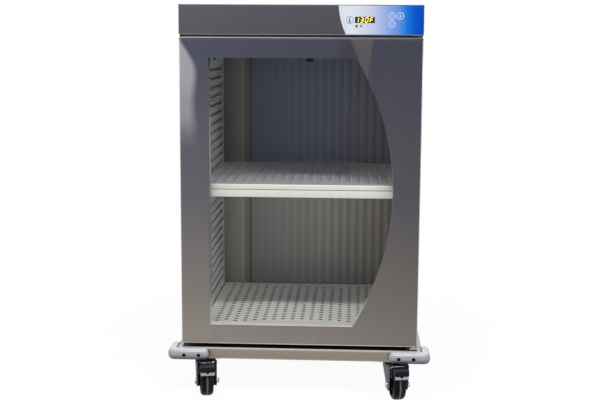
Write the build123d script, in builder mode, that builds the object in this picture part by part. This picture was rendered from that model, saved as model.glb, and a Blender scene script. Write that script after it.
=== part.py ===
"""Blanket warming cabinet on a wheeled base.

Millimetres. The door faces -Y, +X is to the viewer's right, +Z is up. The origin is on the floor,
under the middle of the cabinet.
"""

from build123d import *
from math import cos, radians, sin, sqrt
import os

os.makedirs("parts", exist_ok=True)

# Overall sizes
body_width = 610.0
body_depth = 660.0  # door face to rear cover
base_height = 26.0
door_bottom_gap = 10.0
door_height = 785.0
door_top_gap = 8.5
fascia_height = 74.5

# Sheet and clearances
sheet = 1.2  # stainless casing and liner
seam = 0.2  # between sheets that are screwed or welded side by side
moving_gap = 0.3  # between a moving piece and a fixed one
fit_gap = 0.05  # radial, in a bearing or hinge bore
bend = 2.0  # outer radius of a folded edge

# Base tray and bumpers
tray_sheet = 2.0
tray_overhang = 13.0
bumper_thickness = 20.0
bumper_arm = 107.0  # across the tray's front and rear
bumper_side_arm = 86.0
bumper_rise = 1.0  # above the tray and below its skirt
bumper_edge = 6.0
bumper_corner = 14.0
caster_inset_x = 70.0  # from the tray's side to the swivel axis
caster_inset_y = 44.0  # from the tray's front to the swivel axis
rail_width = 104.0
rail_flange = 10.0
rail_sheet = 2.5

# Casters
wheel_radius = 38.0
tread_width = 33.0
wheel_side_gap = 0.5  # between the wheel and each axle spacer
wheel_clearance = 10.5  # over the wheel, under the fork's crown
axle_radius = 5.0
axle_hex = 9.0  # bolt head, nut and spacers, across corners / 2
axle_head = 5.0
trail = 36.0  # swivel axis to wheel axle
plate_length = 95.0
plate_width = 67.0
plate_thickness = 3.0
crown_thickness = 3.0
race_height = 9.0
race_gap = 0.5
race_radius = 28.0
kingpin_radius = 6.0
fork_width = 52.0
leg_thickness = 2.5
leg_rear = 20.0  # behind the swivel axis
leg_shoulder = 7.0  # straight edge below the crown
leg_front = 18.0  # ahead of the axle
leg_head = 4.0  # above the crown, round the pedal's pivot
leg_foot = 13.0  # half its length at the axle
leg_toe = 6.0  # half its length at its lowest edge
leg_toe_drop = 13.0  # below the axle
axle_drop = 4.0  # the foot is widest this far below the axle
pedal_width = 38.0
pedal_reach = 10.0  # ahead of the wheel
pedal_nose = 12.0  # height of the pad's front face
pedal_pad = 5.0  # thickness of the pad
pedal_lip_drop = 10.0  # steel lip below the pad
pedal_lip = 4.0
pedal_hub = 4.0  # round the pivot
pedal_pivot_radius = 2.5
pedal_pivot_reach = 42.0  # from the swivel axis
caster_yaw = 12.0  # degrees that each fork is turned from straight ahead

# Door
door_thickness = 38.0
gasket_thickness = 6.0
lip_depth = 18.0  # folded edge that the fingers pull, at the door's free side
lip_return = 6.0
groove_width = 22.0
window_left = 74.0  # from the door's left edge
window_top = 48.5
window_bottom = 51.0
window_corner_right = 167.0  # from the door's right edge to the window's right corners
window_bulge = 98.5  # how far the curved side stands out of its chord
glass_thickness = 4.0
glass_margin = 12.0
spacer_thickness = 12.0
spacer_cover = 1.0
spacer_width = 9.0
gasket_width = 14.0
pan_depth = 30.0
hinge_inset_x = 12.0
hinge_inset_y = 14.0
hinge_pin_radius = 4.0
hinge_block_width = 20.0
hinge_block_depth = 24.0
hinge_block_front = 10.0  # from the pin's axis
hinge_block_height = 25.0
hinge_leaf = 3.0
hinge_collar = 9.0  # hexagonal shoulder of each pin, across corners / 2
pin_short = 3.0  # each pin ends this far inside its block
side_leaf_height = 37.0

# Chamber
wall_thickness = 29.0
rear_zone = 78.0  # air duct, blower and insulation behind the chamber
floor_zone = 14.0
ceiling_zone = 28.0
opening_side = 12.0  # face frame's return stands this far inside the chamber wall
opening_sill = 24.0
opening_head = 2.0
frame_return = 18.0
rack_depth = 12.0
rack_slot_pitch = 25.4
rack_slot_height = 8.5
rack_slot_margin = 35.0
rack_top_band = 54.0  # plain strip above the highest slot
rack_foot_band = 12.0
pan_rise = 28.5  # floor pan's top above the chamber floor
shelf_slot = 12  # the shelf hangs in this rack slot, counted down from the top
shelf_lip = 13.0
shelf_drop = 34.0
shelf_tab_length = 40.0
shelf_tab = 3.0

# Air slots of the floor pan and the shelf
slot_width = 11.0
slot_bridge = 12.0  # sheet left between two slots of a column
column_slots = 2  # long slots in each column
slot_pitch = 25.4
slot_edge = 27.0  # plain margin beside the outer column, at least
slot_front = 21.0  # first row of the outer columns, from the pan's front edge
slot_rear = 18.0
slot_bow_front = 56.0  # the middle column starts this much further back
slot_bow_rear = 43.0

# Blower and heater
blower_radius = 64.0
blower_length = 24.0
blower_blades = 12
blower_height = 390.0  # above the tray
shaft_radius = 4.0
motor_radius = 38.0
motor_length = 34.0
heater_thickness = 6.0
heater_strip = 18.0
heater_clip = 10.0
heater_reach = 180.0
heater_pitch = 40.0
heater_strips = 3
heater_height = 170.0

# Control fascia
key_radius = 9.2
key_gap = 0.3
key_pitch = 20.0
key_travel = 0.5
key_proud = 0.8
film = 0.6
key_column = 79.0  # from the cabinet's right side
key_row_z = 38.5  # below the cabinet's top
display_column = 146.0  # from the cabinet's right side
display_z = 37.0  # below the cabinet's top
display_width = 49.0
display_height = 15.5
board_gap = 8.0
board_thickness = 1.6

# Levels and planes worked out from the sizes
base_bottom = 2 * wheel_radius + wheel_clearance + crown_thickness + race_height + plate_thickness
base_top = base_bottom + base_height
door_bottom = base_top + door_bottom_gap
door_top = door_bottom + door_height
fascia_bottom = door_top + door_top_gap
body_top = fascia_bottom + fascia_height
front = -body_depth / 2
rear = body_depth / 2
half_width = body_width / 2
frame_face = front + door_thickness + gasket_thickness
chamber_half = half_width - wall_thickness
chamber_rear = rear - rear_zone
chamber_floor = base_top + floor_zone
chamber_ceiling = door_top - ceiling_zone
opening_half = chamber_half - opening_side
opening_bottom = chamber_floor + opening_sill
opening_top = chamber_ceiling - opening_head
tray_half_x = half_width + tray_overhang
tray_half_y = body_depth / 2 + tray_overhang
rack_face = chamber_half - rack_depth
rack_front = frame_face + frame_return + 4.0
rack_rear = chamber_rear - 4.0
rack_foot = opening_bottom + 2.0
rack_top = opening_top - 2.0
pan_top = chamber_floor + pan_rise
pan_half = rack_face - 3.0
slot_columns_each_side = int((pan_half - slot_edge) // slot_pitch)
duct_rear = rear - 40.0
blower_z = base_top + blower_height
caster_x = tray_half_x - caster_inset_x
caster_y = tray_half_y - caster_inset_y


def front_plane(y):
    """Plane seen from the front at depth y: sketch x is +X, sketch y is +Z, extrusion runs to -Y."""
    return Plane.XZ.offset(-y)


def save(piece, name):
    """Label one finished piece and write it."""
    piece.label = name
    export_step(piece, f"parts/{name}.step")


def block(low, high, mode=Mode.ADD):
    """Rectangular solid between two corners, in the part being built."""
    centre = tuple((a + b) / 2 for a, b in zip(low, high))
    with Locations(centre):
        Box(*(b - a for a, b in zip(low, high)), mode=mode)


# ---------------------------------------------------------------- base
with BuildPart() as base_tray:
    with BuildSketch(Plane.XY.offset(base_bottom)):
        Rectangle(2 * tray_half_x, 2 * tray_half_y)
    extrude(amount=base_height)
    offset(amount=-tray_sheet, openings=base_tray.faces().sort_by(Axis.Z)[0])
save(base_tray.part, "base_tray")

# Swivel axis of each caster, and the way its fork points
caster_places = {
    "front_left": (-caster_x, -caster_y, caster_yaw),
    "front_right": (caster_x, -caster_y, caster_yaw),
    "rear_left": (-caster_x, caster_y, 180.0 + caster_yaw),
    "rear_right": (caster_x, caster_y, 180.0 + caster_yaw),
}

# Two hat-section rails under the tray carry the casters
with BuildPart() as caster_rails:
    rail_height = base_height - tray_sheet
    for side in (-1, 1):
        with BuildSketch(Plane.XZ.offset(-(tray_half_y - 2 * tray_sheet))):
            with Locations((side * caster_x, base_bottom + rail_height / 2)):
                Rectangle(rail_width, rail_height)
            with Locations((side * caster_x, base_bottom + rail_height / 2 + rail_sheet)):
                Rectangle(rail_width - 2 * rail_sheet, rail_height, mode=Mode.SUBTRACT)
            flange_x = (rail_width + rail_flange) / 2
            flange_z = base_top - tray_sheet - rail_sheet / 2
            with Locations(*((side * caster_x + s * flange_x, flange_z) for s in (-1, 1))):
                Rectangle(rail_flange, rail_sheet)
        extrude(amount=2 * (tray_half_y - 2 * tray_sheet))
save(caster_rails.part, "caster_rails")

# Corner bumpers wrap each corner of the tray
bumper_inner_x = tray_half_x + seam
bumper_inner_y = tray_half_y + seam
bumper_outer_x = bumper_inner_x + bumper_thickness
bumper_outer_y = bumper_inner_y + bumper_thickness
arm_end_x = bumper_outer_x - bumper_arm
arm_end_y = bumper_outer_y - bumper_side_arm
corner_inset = bumper_corner * (1 - sqrt(0.5))
bumper_outline = (
    (arm_end_x, bumper_inner_y + bumper_edge),
    (arm_end_x, bumper_outer_y - bumper_edge),
    (arm_end_x + bumper_edge, bumper_outer_y),
    (bumper_outer_x - bumper_corner, bumper_outer_y),
    (bumper_outer_x - corner_inset, bumper_outer_y - corner_inset),
    (bumper_outer_x, bumper_outer_y - bumper_corner),
    (bumper_outer_x, arm_end_y + bumper_edge),
    (bumper_outer_x - bumper_edge, arm_end_y),
    (bumper_inner_x + bumper_edge, arm_end_y),
    (bumper_inner_x, arm_end_y + bumper_edge),
    (bumper_inner_x, bumper_inner_y),
    (arm_end_x + bumper_edge, bumper_inner_y),
)
for name, (x, y, _) in caster_places.items():
    across = 1 if x > 0 else -1
    along = 1 if y > 0 else -1
    with BuildPart() as bumper:
        with BuildSketch(Plane.XY.offset(base_bottom - bumper_rise)):
            with BuildLine():
                Polyline(*((across * px, along * py) for px, py in bumper_outline), close=True)
            make_face()
        extrude(amount=base_height + 2 * bumper_rise)
        chamfer(bumper.faces().filter_by(Axis.Z).edges(), length=bumper_edge)
    save(bumper.part, f"{name}_bumper")

# ---------------------------------------------------------------- casters
plate_bottom = base_bottom - plate_thickness
crown_top = plate_bottom - race_height
crown_bottom = crown_top - crown_thickness
nut_height = 6.0

# Top plates, each with its upper ball race and the kingpin that the fork turns on
with BuildPart() as caster_plates:
    for x, y, _ in caster_places.values():
        with BuildSketch(Plane.XY.offset(plate_bottom)):
            with Locations((x, y)):
                Rectangle(plate_length, plate_width)
        extrude(amount=plate_thickness)
        with BuildSketch(Plane.XY.offset(crown_top + race_gap)):
            with Locations((x, y)):
                RegularPolygon(race_radius, 8)
        extrude(amount=race_height - race_gap)
        with BuildSketch(Plane.XY.offset(crown_bottom - race_gap)):
            with Locations((x, y)):
                Circle(kingpin_radius)
        extrude(amount=crown_thickness + 2 * race_gap)
        with BuildSketch(Plane.XY.offset(crown_bottom - nut_height)):
            with Locations((x, y)):
                RegularPolygon(kingpin_radius + 3.0, 6)
        extrude(amount=nut_height - race_gap)
save(caster_plates.part, "caster_plates")


def trail_direction(yaw):
    return (sin(radians(yaw)), -cos(radians(yaw)), 0.0)


def side_direction(yaw):
    return (cos(radians(yaw)), sin(radians(yaw)), 0.0)


def caster_side_plane(x, y, yaw, offset_x=0.0):
    """Upright plane along the fork: sketch x runs from the swivel axis to the axle, sketch y is height."""
    lateral = side_direction(yaw)
    origin = (x + lateral[0] * offset_x, y + lateral[1] * offset_x, 0)
    return Plane(origin, x_dir=trail_direction(yaw), z_dir=(-lateral[0], -lateral[1], 0))


pedal_pivot_height = crown_top + 0.5
leg_inner = fork_width / 2 - leg_thickness


def make_fork(x, y, yaw):
    """Pressed fork: crown and two legs, with the axle bolt, its spacers and the brake's pivot pin."""
    top_plane = Plane((x, y, crown_bottom), x_dir=trail_direction(yaw), z_dir=(0, 0, 1))
    centre_plane = caster_side_plane(x, y, yaw)
    half_wheel = tread_width / 2 + wheel_side_gap
    with BuildPart() as fork:
        with BuildSketch(top_plane):
            RegularPolygon(fork_width / 2, 12)
            with Locations((trail / 2, 0)):
                Rectangle(trail, fork_width)
        extrude(amount=crown_thickness)
        for side in (-1, 1):
            with BuildSketch(caster_side_plane(x, y, yaw, side * leg_inner)):
                with BuildLine():
                    Polyline(
                        (-leg_rear, crown_top),
                        (-leg_rear, crown_bottom - leg_shoulder),
                        (trail - leg_foot, wheel_radius - axle_drop),
                        (trail - leg_toe, wheel_radius - leg_toe_drop),
                        (trail + leg_toe, wheel_radius - leg_toe_drop),
                        (trail + leg_foot, wheel_radius - axle_drop),
                        (trail + leg_front, crown_bottom - leg_shoulder),
                        (trail + leg_front, crown_top + leg_head),
                        (pedal_pivot_reach - 2 * leg_head, crown_top + leg_head),
                        (pedal_pivot_reach - 4 * leg_head, crown_top),
                        close=True,
                    )
                make_face()
            extrude(amount=-side * leg_thickness)
            for near, far in ((half_wheel, leg_inner), (fork_width / 2, fork_width / 2 + axle_head)):
                with BuildSketch(caster_side_plane(x, y, yaw, side * near)):
                    with Locations((trail, wheel_radius)):
                        RegularPolygon(axle_hex, 6)
                extrude(amount=-side * (far - near))
        with BuildSketch(centre_plane):
            with Locations((trail, wheel_radius)):
                Circle(axle_radius)
            with Locations((pedal_pivot_reach, pedal_pivot_height)):
                Circle(pedal_pivot_radius)
        extrude(amount=leg_inner, both=True)
        with BuildSketch(top_plane):
            Circle(kingpin_radius + fit_gap)
        extrude(amount=crown_thickness, mode=Mode.SUBTRACT)
    return fork.part


def make_wheel(x, y, yaw):
    """Wheel with a through bore for the axle bolt."""
    with BuildPart() as wheel:
        with BuildSketch(caster_side_plane(x, y, yaw)):
            with Locations((trail, wheel_radius)):
                Circle(wheel_radius)
                Circle(axle_radius + fit_gap, mode=Mode.SUBTRACT)
        extrude(amount=tread_width / 2, both=True)
    return wheel.part


def make_pedal(x, y, yaw):
    """Brake pedal: a block over the wheel's front, hinged on the fork, with a turned-down steel lip."""
    tip = trail + wheel_radius + pedal_reach
    nose_top = crown_bottom + 1.0
    nose_low = nose_top - pedal_nose
    with BuildPart() as pedal:
        with BuildSketch(caster_side_plane(x, y, yaw)):
            with BuildLine():
                Polyline(
                    (pedal_pivot_reach - pedal_hub, pedal_pivot_height + pedal_hub),
                    (pedal_pivot_reach + pedal_hub, pedal_pivot_height + pedal_pad),
                    (tip, nose_top),
                    (tip, nose_low),
                    (tip - 1, nose_low - pedal_lip_drop),
                    (tip - pedal_lip, nose_low - pedal_lip_drop),
                    (tip - pedal_pad, nose_low),
                    (pedal_pivot_reach + 4 * pedal_pad, nose_low + pedal_hub),
                    (pedal_pivot_reach + pedal_hub, pedal_pivot_height - pedal_hub),
                    (pedal_pivot_reach - pedal_hub, pedal_pivot_height - pedal_hub),
                    close=True,
                )
            make_face()
            with Locations((pedal_pivot_reach, pedal_pivot_height)):
                Circle(pedal_pivot_radius + fit_gap, mode=Mode.SUBTRACT)
        extrude(amount=pedal_width / 2, both=True)
    return pedal.part


for name, (x, y, yaw) in caster_places.items():
    save(make_fork(x, y, yaw), f"{name}_fork")
    save(make_wheel(x, y, yaw), f"{name}_wheel")
    save(make_pedal(x, y, yaw), f"{name}_pedal")

# ---------------------------------------------------------------- outer casing
flange = 15.0
for name, side in (("left_side_panel", -1), ("right_side_panel", 1)):
    with BuildPart() as panel:
        with BuildSketch(Plane.XY.offset(base_top)):
            with BuildLine():
                Polyline(
                    (side * half_width, frame_face),
                    (side * half_width, rear - sheet - seam),
                    (side * (half_width - flange), rear - sheet - seam),
                    (side * (half_width - flange), rear - 2 * sheet - seam),
                    (side * (half_width - sheet), rear - 2 * sheet - seam),
                    (side * (half_width - sheet), frame_face),
                    close=True,
                )
            make_face()
        extrude(amount=body_top - sheet - base_top)
    save(panel.part, name)

with BuildPart() as top_cover:
    block((-half_width, frame_face + seam, body_top - sheet), (half_width, rear, body_top))
save(top_cover.part, "top_cover")

inside_half = half_width - sheet - seam
with BuildPart() as shell_floor:
    block(
        (-inside_half, frame_face, base_top),
        (inside_half, rear - 2 * sheet - 2 * seam, base_top + sheet),
    )
save(shell_floor.part, "shell_floor")

vent_width = 60.0
vent_height = 4.0
vent_pitch = 9.0
vent_rows = 6
inlet_x = 80.0 - half_width
inlet_z = body_top - 38.0
inlet_width = 28.0
inlet_height = 21.0
with BuildPart() as rear_cover:
    block((-half_width, rear - sheet, base_top), (half_width, rear, body_top - sheet - seam))
    with BuildSketch(front_plane(rear)):
        with Locations((0, inlet_z)):
            with GridLocations(2.4 * vent_width, vent_pitch, 2, vent_rows):
                Rectangle(vent_width, vent_height)
        with Locations((inlet_x, inlet_z)):
            Rectangle(inlet_width + 2 * seam, inlet_height + 2 * seam)
    extrude(amount=sheet, mode=Mode.SUBTRACT)
save(rear_cover.part, "rear_cover")

inlet_flange = 2.0
inlet_body = 24.0
inlet_socket_depth = 17.0
inlet_pin_length = 11.0
inlet_pin_pitch = 7.0
inlet_wall = 2.0
with BuildPart() as power_inlet:
    with BuildSketch(front_plane(rear)):
        with Locations((inlet_x, inlet_z)):
            Rectangle(inlet_width, inlet_height)
    extrude(amount=inlet_body)
    with BuildSketch(front_plane(rear + inlet_flange)):
        with Locations((inlet_x, inlet_z)):
            Rectangle(inlet_width + 22.0, inlet_height + 5.0)
    extrude(amount=inlet_flange)
    with BuildSketch(front_plane(rear + inlet_flange)):
        with Locations((inlet_x, inlet_z)):
            Rectangle(inlet_width - 2 * inlet_wall, inlet_height - 2.5 * inlet_wall)
    extrude(amount=inlet_socket_depth, mode=Mode.SUBTRACT)
    with BuildSketch(front_plane(rear + inlet_flange - inlet_socket_depth + inlet_pin_length)):
        with Locations((inlet_x, inlet_z)):
            with GridLocations(inlet_pin_pitch, 0, 3, 1):
                Rectangle(2.0, 6.0)
    extrude(amount=inlet_pin_length)
save(power_inlet.part, "power_inlet")

# Face frame: two stiles and two rails of angle round the chamber opening
with BuildPart() as front_frame:
    for side in (-1, 1):
        face_x = sorted((side * opening_half, side * inside_half))
        block(
            (face_x[0], frame_face, base_top + sheet + seam),
            (face_x[1], frame_face + sheet, fascia_bottom - seam),
        )
        return_x = sorted((side * opening_half, side * (opening_half + sheet)))
        block(
            (return_x[0], frame_face, chamber_floor + sheet + seam),
            (return_x[1], frame_face + frame_return, chamber_ceiling - seam),
        )
    for low, high, inner in (
        (base_top + sheet + seam, opening_bottom, opening_bottom - sheet),
        (opening_top, fascia_bottom - seam, opening_top),
    ):
        block((seam - opening_half, frame_face, low), (opening_half - seam, frame_face + sheet, high))
        block(
            (seam - opening_half, frame_face, inner),
            (opening_half - seam, frame_face + frame_return, inner + sheet),
        )
save(front_frame.part, "front_frame")

# ---------------------------------------------------------------- chamber
liner_front = frame_face + sheet + seam
for name, side in (("chamber_left_wall", -1), ("chamber_right_wall", 1)):
    with BuildPart() as wall:
        near, far = sorted((side * chamber_half, side * (chamber_half + sheet)))
        block((near, liner_front, chamber_floor), (far, chamber_rear, chamber_ceiling + sheet))
    save(wall.part, name)

liner_half = chamber_half - seam
with BuildPart() as chamber_ceiling_sheet:
    block((-liner_half, liner_front, chamber_ceiling), (liner_half, chamber_rear, chamber_ceiling + sheet))
save(chamber_ceiling_sheet.part, "chamber_ceiling")

with BuildPart() as chamber_floor_sheet:
    block((-liner_half, liner_front, chamber_floor), (liner_half, chamber_rear, chamber_floor + sheet))
save(chamber_floor_sheet.part, "chamber_floor")

# Back wall: return-air slots above the door's window line, supply slots under the floor pan
with BuildPart() as chamber_back:
    block(
        (-chamber_half - sheet, chamber_rear, chamber_floor),
        (chamber_half + sheet, chamber_rear + sheet, chamber_ceiling + sheet),
    )
    with BuildSketch(front_plane(chamber_rear + sheet)):
        with Locations((0, chamber_ceiling - 12.0), (0, chamber_floor + pan_rise / 2)):
            with GridLocations(4 * slot_pitch, 0, 5, 1):
                Rectangle(3 * slot_pitch, 6.0)
    extrude(amount=sheet, mode=Mode.SUBTRACT)
save(chamber_back.part, "chamber_back_wall")

# Wall racks: slotted channels that also duct the warm air
rack_slot_top = rack_top - rack_top_band
rack_slot_count = int((rack_slot_top - rack_foot - rack_foot_band) // rack_slot_pitch) + 1
rack_slot_length = rack_rear - rack_front - 2 * rack_slot_margin
for name, side in (("left_rack", -1), ("right_rack", 1)):
    with BuildPart() as rack:
        with BuildSketch(Plane.XY.offset(rack_foot)):
            with BuildLine():
                Polyline(
                    (side * (chamber_half - seam), rack_front),
                    (side * rack_face, rack_front),
                    (side * rack_face, rack_rear),
                    (side * (chamber_half - seam), rack_rear),
                    (side * (chamber_half - seam), rack_rear - sheet),
                    (side * (rack_face + sheet), rack_rear - sheet),
                    (side * (rack_face + sheet), rack_front + sheet),
                    (side * (chamber_half - seam), rack_front + sheet),
                    close=True,
                )
            make_face()
        extrude(amount=rack_top - rack_foot)
        with BuildSketch(Plane.YZ.offset(side * rack_face)):
            for row in range(rack_slot_count):
                with Locations(((rack_front + rack_rear) / 2, rack_slot_top - row * rack_slot_pitch)):
                    Rectangle(rack_slot_length, rack_slot_height)
        extrude(amount=side * sheet, mode=Mode.SUBTRACT)
    save(rack.part, name)


def slot_field():
    """Air slots in plan: straight columns of slots whose ends lie on two curves that bow inwards."""
    with BuildSketch(mode=Mode.PRIVATE) as field:
        for column in range(-slot_columns_each_side, slot_columns_each_side + 1):
            middle = 1 - (column / slot_columns_each_side) ** 2
            first = pan_front + slot_front + slot_bow_front * middle
            last = pan_rear - slot_rear - slot_bow_rear * middle
            step = (last - first) / column_slots
            for row in range(column_slots):
                with Locations((column * slot_pitch, first + (row + 0.5) * step)):
                    Rectangle(slot_width, step - slot_bridge)
    return field.sketch


pan_front = rack_front
pan_rear = chamber_rear - 5.0
with BuildPart() as floor_pan:
    with BuildSketch(Plane.XY.offset(chamber_floor + sheet)):
        with Locations((0, (pan_front + pan_rear) / 2)):
            Rectangle(2 * pan_half, pan_rear - pan_front)
    extrude(amount=pan_top - chamber_floor - sheet)
    offset(amount=-sheet, openings=floor_pan.faces().sort_by(Axis.Z)[0])
    with BuildSketch(Plane.XY.offset(pan_top)):
        add(slot_field())
    extrude(amount=-sheet, mode=Mode.SUBTRACT)
save(floor_pan.part, "floor_pan")

# ---------------------------------------------------------------- shelf
shelf_slot_z = rack_slot_top - shelf_slot * rack_slot_pitch
tab_bottom = shelf_slot_z - rack_slot_height / 2
shelf_bottom = tab_bottom - 12.0
shelf_top = shelf_bottom + shelf_drop
shelf_half = rack_face - 2.0
shelf_front = frame_face + 8.0
shelf_rear = chamber_rear - 8.0
with BuildPart() as shelf_deck:
    with BuildSketch(Plane.XY.offset(shelf_top - shelf_lip)):
        with Locations((0, (shelf_front + shelf_rear) / 2)):
            Rectangle(2 * shelf_half, shelf_rear - shelf_front)
    extrude(amount=shelf_lip)
    offset(amount=-sheet, openings=shelf_deck.faces().sort_by(Axis.Z)[0])
    with BuildSketch(Plane.XY.offset(shelf_top)):
        add(slot_field())
    extrude(amount=-sheet, mode=Mode.SUBTRACT)
save(shelf_deck.part, "shelf_deck")

# Shelf frame: four angle members under the deck, with tabs that hang in the rack slots
frame_half = shelf_half - sheet - seam
frame_front = shelf_front + sheet + seam
frame_rear = shelf_rear - sheet - seam
frame_top = shelf_top - sheet
frame_web = 1.5
frame_flange = 14.0
with BuildPart() as shelf_frame:
    for y, inward in ((frame_front, 1), (frame_rear, -1)):
        with BuildSketch(Plane.YZ.offset(-frame_half)):
            with BuildLine():
                Polyline(
                    (y, frame_top),
                    (y, shelf_bottom),
                    (y + inward * frame_flange, shelf_bottom),
                    (y + inward * frame_flange, shelf_bottom + frame_web),
                    (y + inward * frame_web, shelf_bottom + frame_web),
                    (y + inward * frame_web, frame_top),
                    close=True,
                )
            make_face()
        extrude(amount=2 * frame_half)
    for side in (-1, 1):
        web_x = sorted((side * frame_half, side * (frame_half - frame_web)))
        block(
            (web_x[0], frame_front + frame_flange + seam, shelf_bottom),
            (web_x[1], frame_rear - frame_flange - seam, frame_top),
        )
        for y in (frame_front + 80.0, frame_rear - 80.0):
            tab_x = sorted((side * frame_half, side * (rack_face + 4.0)))
            block(
                (tab_x[0], y - shelf_tab_length / 2, tab_bottom),
                (tab_x[1], y + shelf_tab_length / 2, tab_bottom + shelf_tab),
            )
save(shelf_frame.part, "shelf_frame")

# ---------------------------------------------------------------- insulation
batt_clear = 0.2
batt_side = inside_half - batt_clear
batt_front = frame_face + sheet + batt_clear
batt_foot = base_top + sheet + batt_clear
batt_inner = chamber_half + sheet + batt_clear
pocket_radius = motor_radius + 2.0
with BuildPart() as insulation:
    for side in (-1, 1):
        near, far = sorted((side * batt_inner, side * batt_side))
        block(
            (near, frame_face + frame_return + 1.0, batt_foot),
            (far, duct_rear - batt_clear, chamber_ceiling + sheet),
        )
    block(
        (-batt_side, frame_face + frame_return + 1.0, chamber_ceiling + sheet + batt_clear),
        (batt_side, rear - 2 * sheet - 3 * seam, fascia_bottom),
    )
    block((-chamber_half, batt_front, batt_foot), (chamber_half, chamber_rear, chamber_floor - batt_clear))
    block(
        (-batt_side, duct_rear + sheet + batt_clear, batt_foot),
        (batt_side, rear - 2 * sheet - 3 * seam, chamber_ceiling + sheet),
    )
    with BuildSketch(front_plane(rear)):
        with Locations((0, blower_z)):
            Rectangle(2 * pocket_radius, 2 * pocket_radius)
    extrude(amount=rear - duct_rear, mode=Mode.SUBTRACT)
save(insulation.part, "insulation_batts")

# ---------------------------------------------------------------- air system
# Duct panel with the blower's rounded housing, open below towards the heater
housing_outer = blower_radius + 22.0
housing_front = chamber_rear + sheet + 3.0
shaft_back = duct_rear + 24.0
shaft_length = 34.0
with BuildPart() as blower_housing:
    block((-chamber_half, duct_rear, chamber_floor), (chamber_half, duct_rear + sheet, chamber_ceiling))
    with BuildSketch(front_plane(duct_rear)):
        with Locations((0, blower_z)):
            RegularPolygon(housing_outer, 8, rotation=22.5)
            RegularPolygon(housing_outer - 2 * sheet, 8, rotation=22.5, mode=Mode.SUBTRACT)
        with Locations((0, blower_z - housing_outer)):
            Rectangle(blower_radius, 4 * sheet, mode=Mode.SUBTRACT)
    extrude(amount=duct_rear - housing_front)
    with BuildSketch(front_plane(duct_rear + sheet)):
        with Locations((0, blower_z)):
            RegularPolygon(shaft_radius + 3.0, 6)
    extrude(amount=sheet, mode=Mode.SUBTRACT)
save(blower_housing.part, "blower_housing")

wheel_back = duct_rear - 4.5
blade_inner = blower_radius - 13.0
with BuildPart() as blower_wheel:
    with BuildSketch(front_plane(wheel_back)):
        with Locations((0, blower_z)):
            RegularPolygon(blower_radius, 2 * blower_blades)
    extrude(amount=sheet)
    with BuildSketch(front_plane(wheel_back)):
        with Locations((0, blower_z)):
            with PolarLocations((blower_radius + blade_inner) / 2, blower_blades):
                Rectangle(blower_radius - blade_inner - 1.5, 1.2, rotation=35)
    extrude(amount=blower_length)
    with BuildSketch(front_plane(shaft_back)):
        with Locations((0, blower_z)):
            Circle(shaft_radius)
    extrude(amount=shaft_length)
save(blower_wheel.part, "blower_wheel")

with BuildPart() as blower_motor:
    with BuildSketch(front_plane(duct_rear + sheet + motor_length)):
        with Locations((0, blower_z)):
            RegularPolygon(motor_radius, 8, rotation=22.5)
    extrude(amount=motor_length)
    with BuildSketch(front_plane(shaft_back + 2.0)):
        with Locations((0, blower_z)):
            Circle(shaft_radius + fit_gap)
    extrude(amount=shaft_back + 2.0 - duct_rear, mode=Mode.SUBTRACT)
save(blower_motor.part, "blower_motor")

# Flat strip heaters across the duct, held between two clips on the back wall
heater_y = (chamber_rear + duct_rear) / 2
heater_low = base_top + heater_height
heater_high = heater_low + (heater_strips - 1) * heater_pitch
with BuildPart() as heater_element:
    with BuildSketch(Plane.YZ.offset(-heater_reach)):
        with Locations(*((heater_y, heater_low + row * heater_pitch) for row in range(heater_strips))):
            Rectangle(heater_thickness, heater_strip)
    extrude(amount=2 * heater_reach)
    for side in (-1, 1):
        clip_x = sorted((side * heater_reach, side * (heater_reach - heater_clip)))
        block(
            (clip_x[0], chamber_rear + sheet, heater_low - heater_strip),
            (clip_x[1], heater_y + heater_thickness, heater_high + heater_strip),
        )
save(heater_element.part, "heater_element")

probe_radius = 10.0
probe_length = 35.0
probe_x = 11.0
probe_y = front + 300.0
with BuildPart() as temperature_probe:
    with BuildSketch(Plane.XY.offset(chamber_ceiling - probe_length)):
        with Locations((probe_x, probe_y)):
            RegularPolygon(probe_radius, 12)
    extrude(amount=probe_length)
save(temperature_probe.part, "temperature_probe")

# ---------------------------------------------------------------- door
window_mid_z = (door_bottom + window_bottom + door_top - window_top) / 2
window_half = (door_height - window_bottom - window_top) / 2
window_radius = (window_half**2 + window_bulge**2) / (2 * window_bulge)
window_centre_x = half_width - window_corner_right + window_bulge - window_radius
hinge_x = half_width - hinge_inset_x
hinge_y = front + hinge_inset_y


def window_outline(grow=0.0):
    """Window shape seen from the front: three straight sides and one circular side, grown outwards."""
    left = window_left - half_width - grow
    reach = window_half + grow
    radius = window_radius + grow
    corner = window_centre_x + sqrt(radius**2 - reach**2)
    with BuildSketch(mode=Mode.PRIVATE) as outline:
        with BuildLine():
            ThreePointArc(
                (corner, window_mid_z - reach),
                (window_centre_x + radius, window_mid_z),
                (corner, window_mid_z + reach),
            )
            Polyline(
                (corner, window_mid_z + reach),
                (left, window_mid_z + reach),
                (left, window_mid_z - reach),
                (corner, window_mid_z - reach),
            )
        make_face()
    return outline.sketch


door_mid_z = (door_bottom + door_top) / 2
pan_left = groove_width - half_width
pan_right = half_width - sheet - seam
pan_low = door_bottom + sheet + seam
pan_high = door_top - sheet - seam
skin_depth = door_thickness - sheet
outer_glass_front = front + sheet
spacer_front = outer_glass_front + glass_thickness
inner_glass_front = spacer_front + spacer_thickness
inner_glass_rear = inner_glass_front + glass_thickness

# Clear way through the door's end flanges for the two hinge pins
pin_way = hinge_pin_radius + 2.0
pin_clearance = (
    (hinge_x - pin_way, hinge_y - pin_way, door_bottom),
    (hinge_x + pin_way, hinge_y + pin_way, door_top),
)

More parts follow.
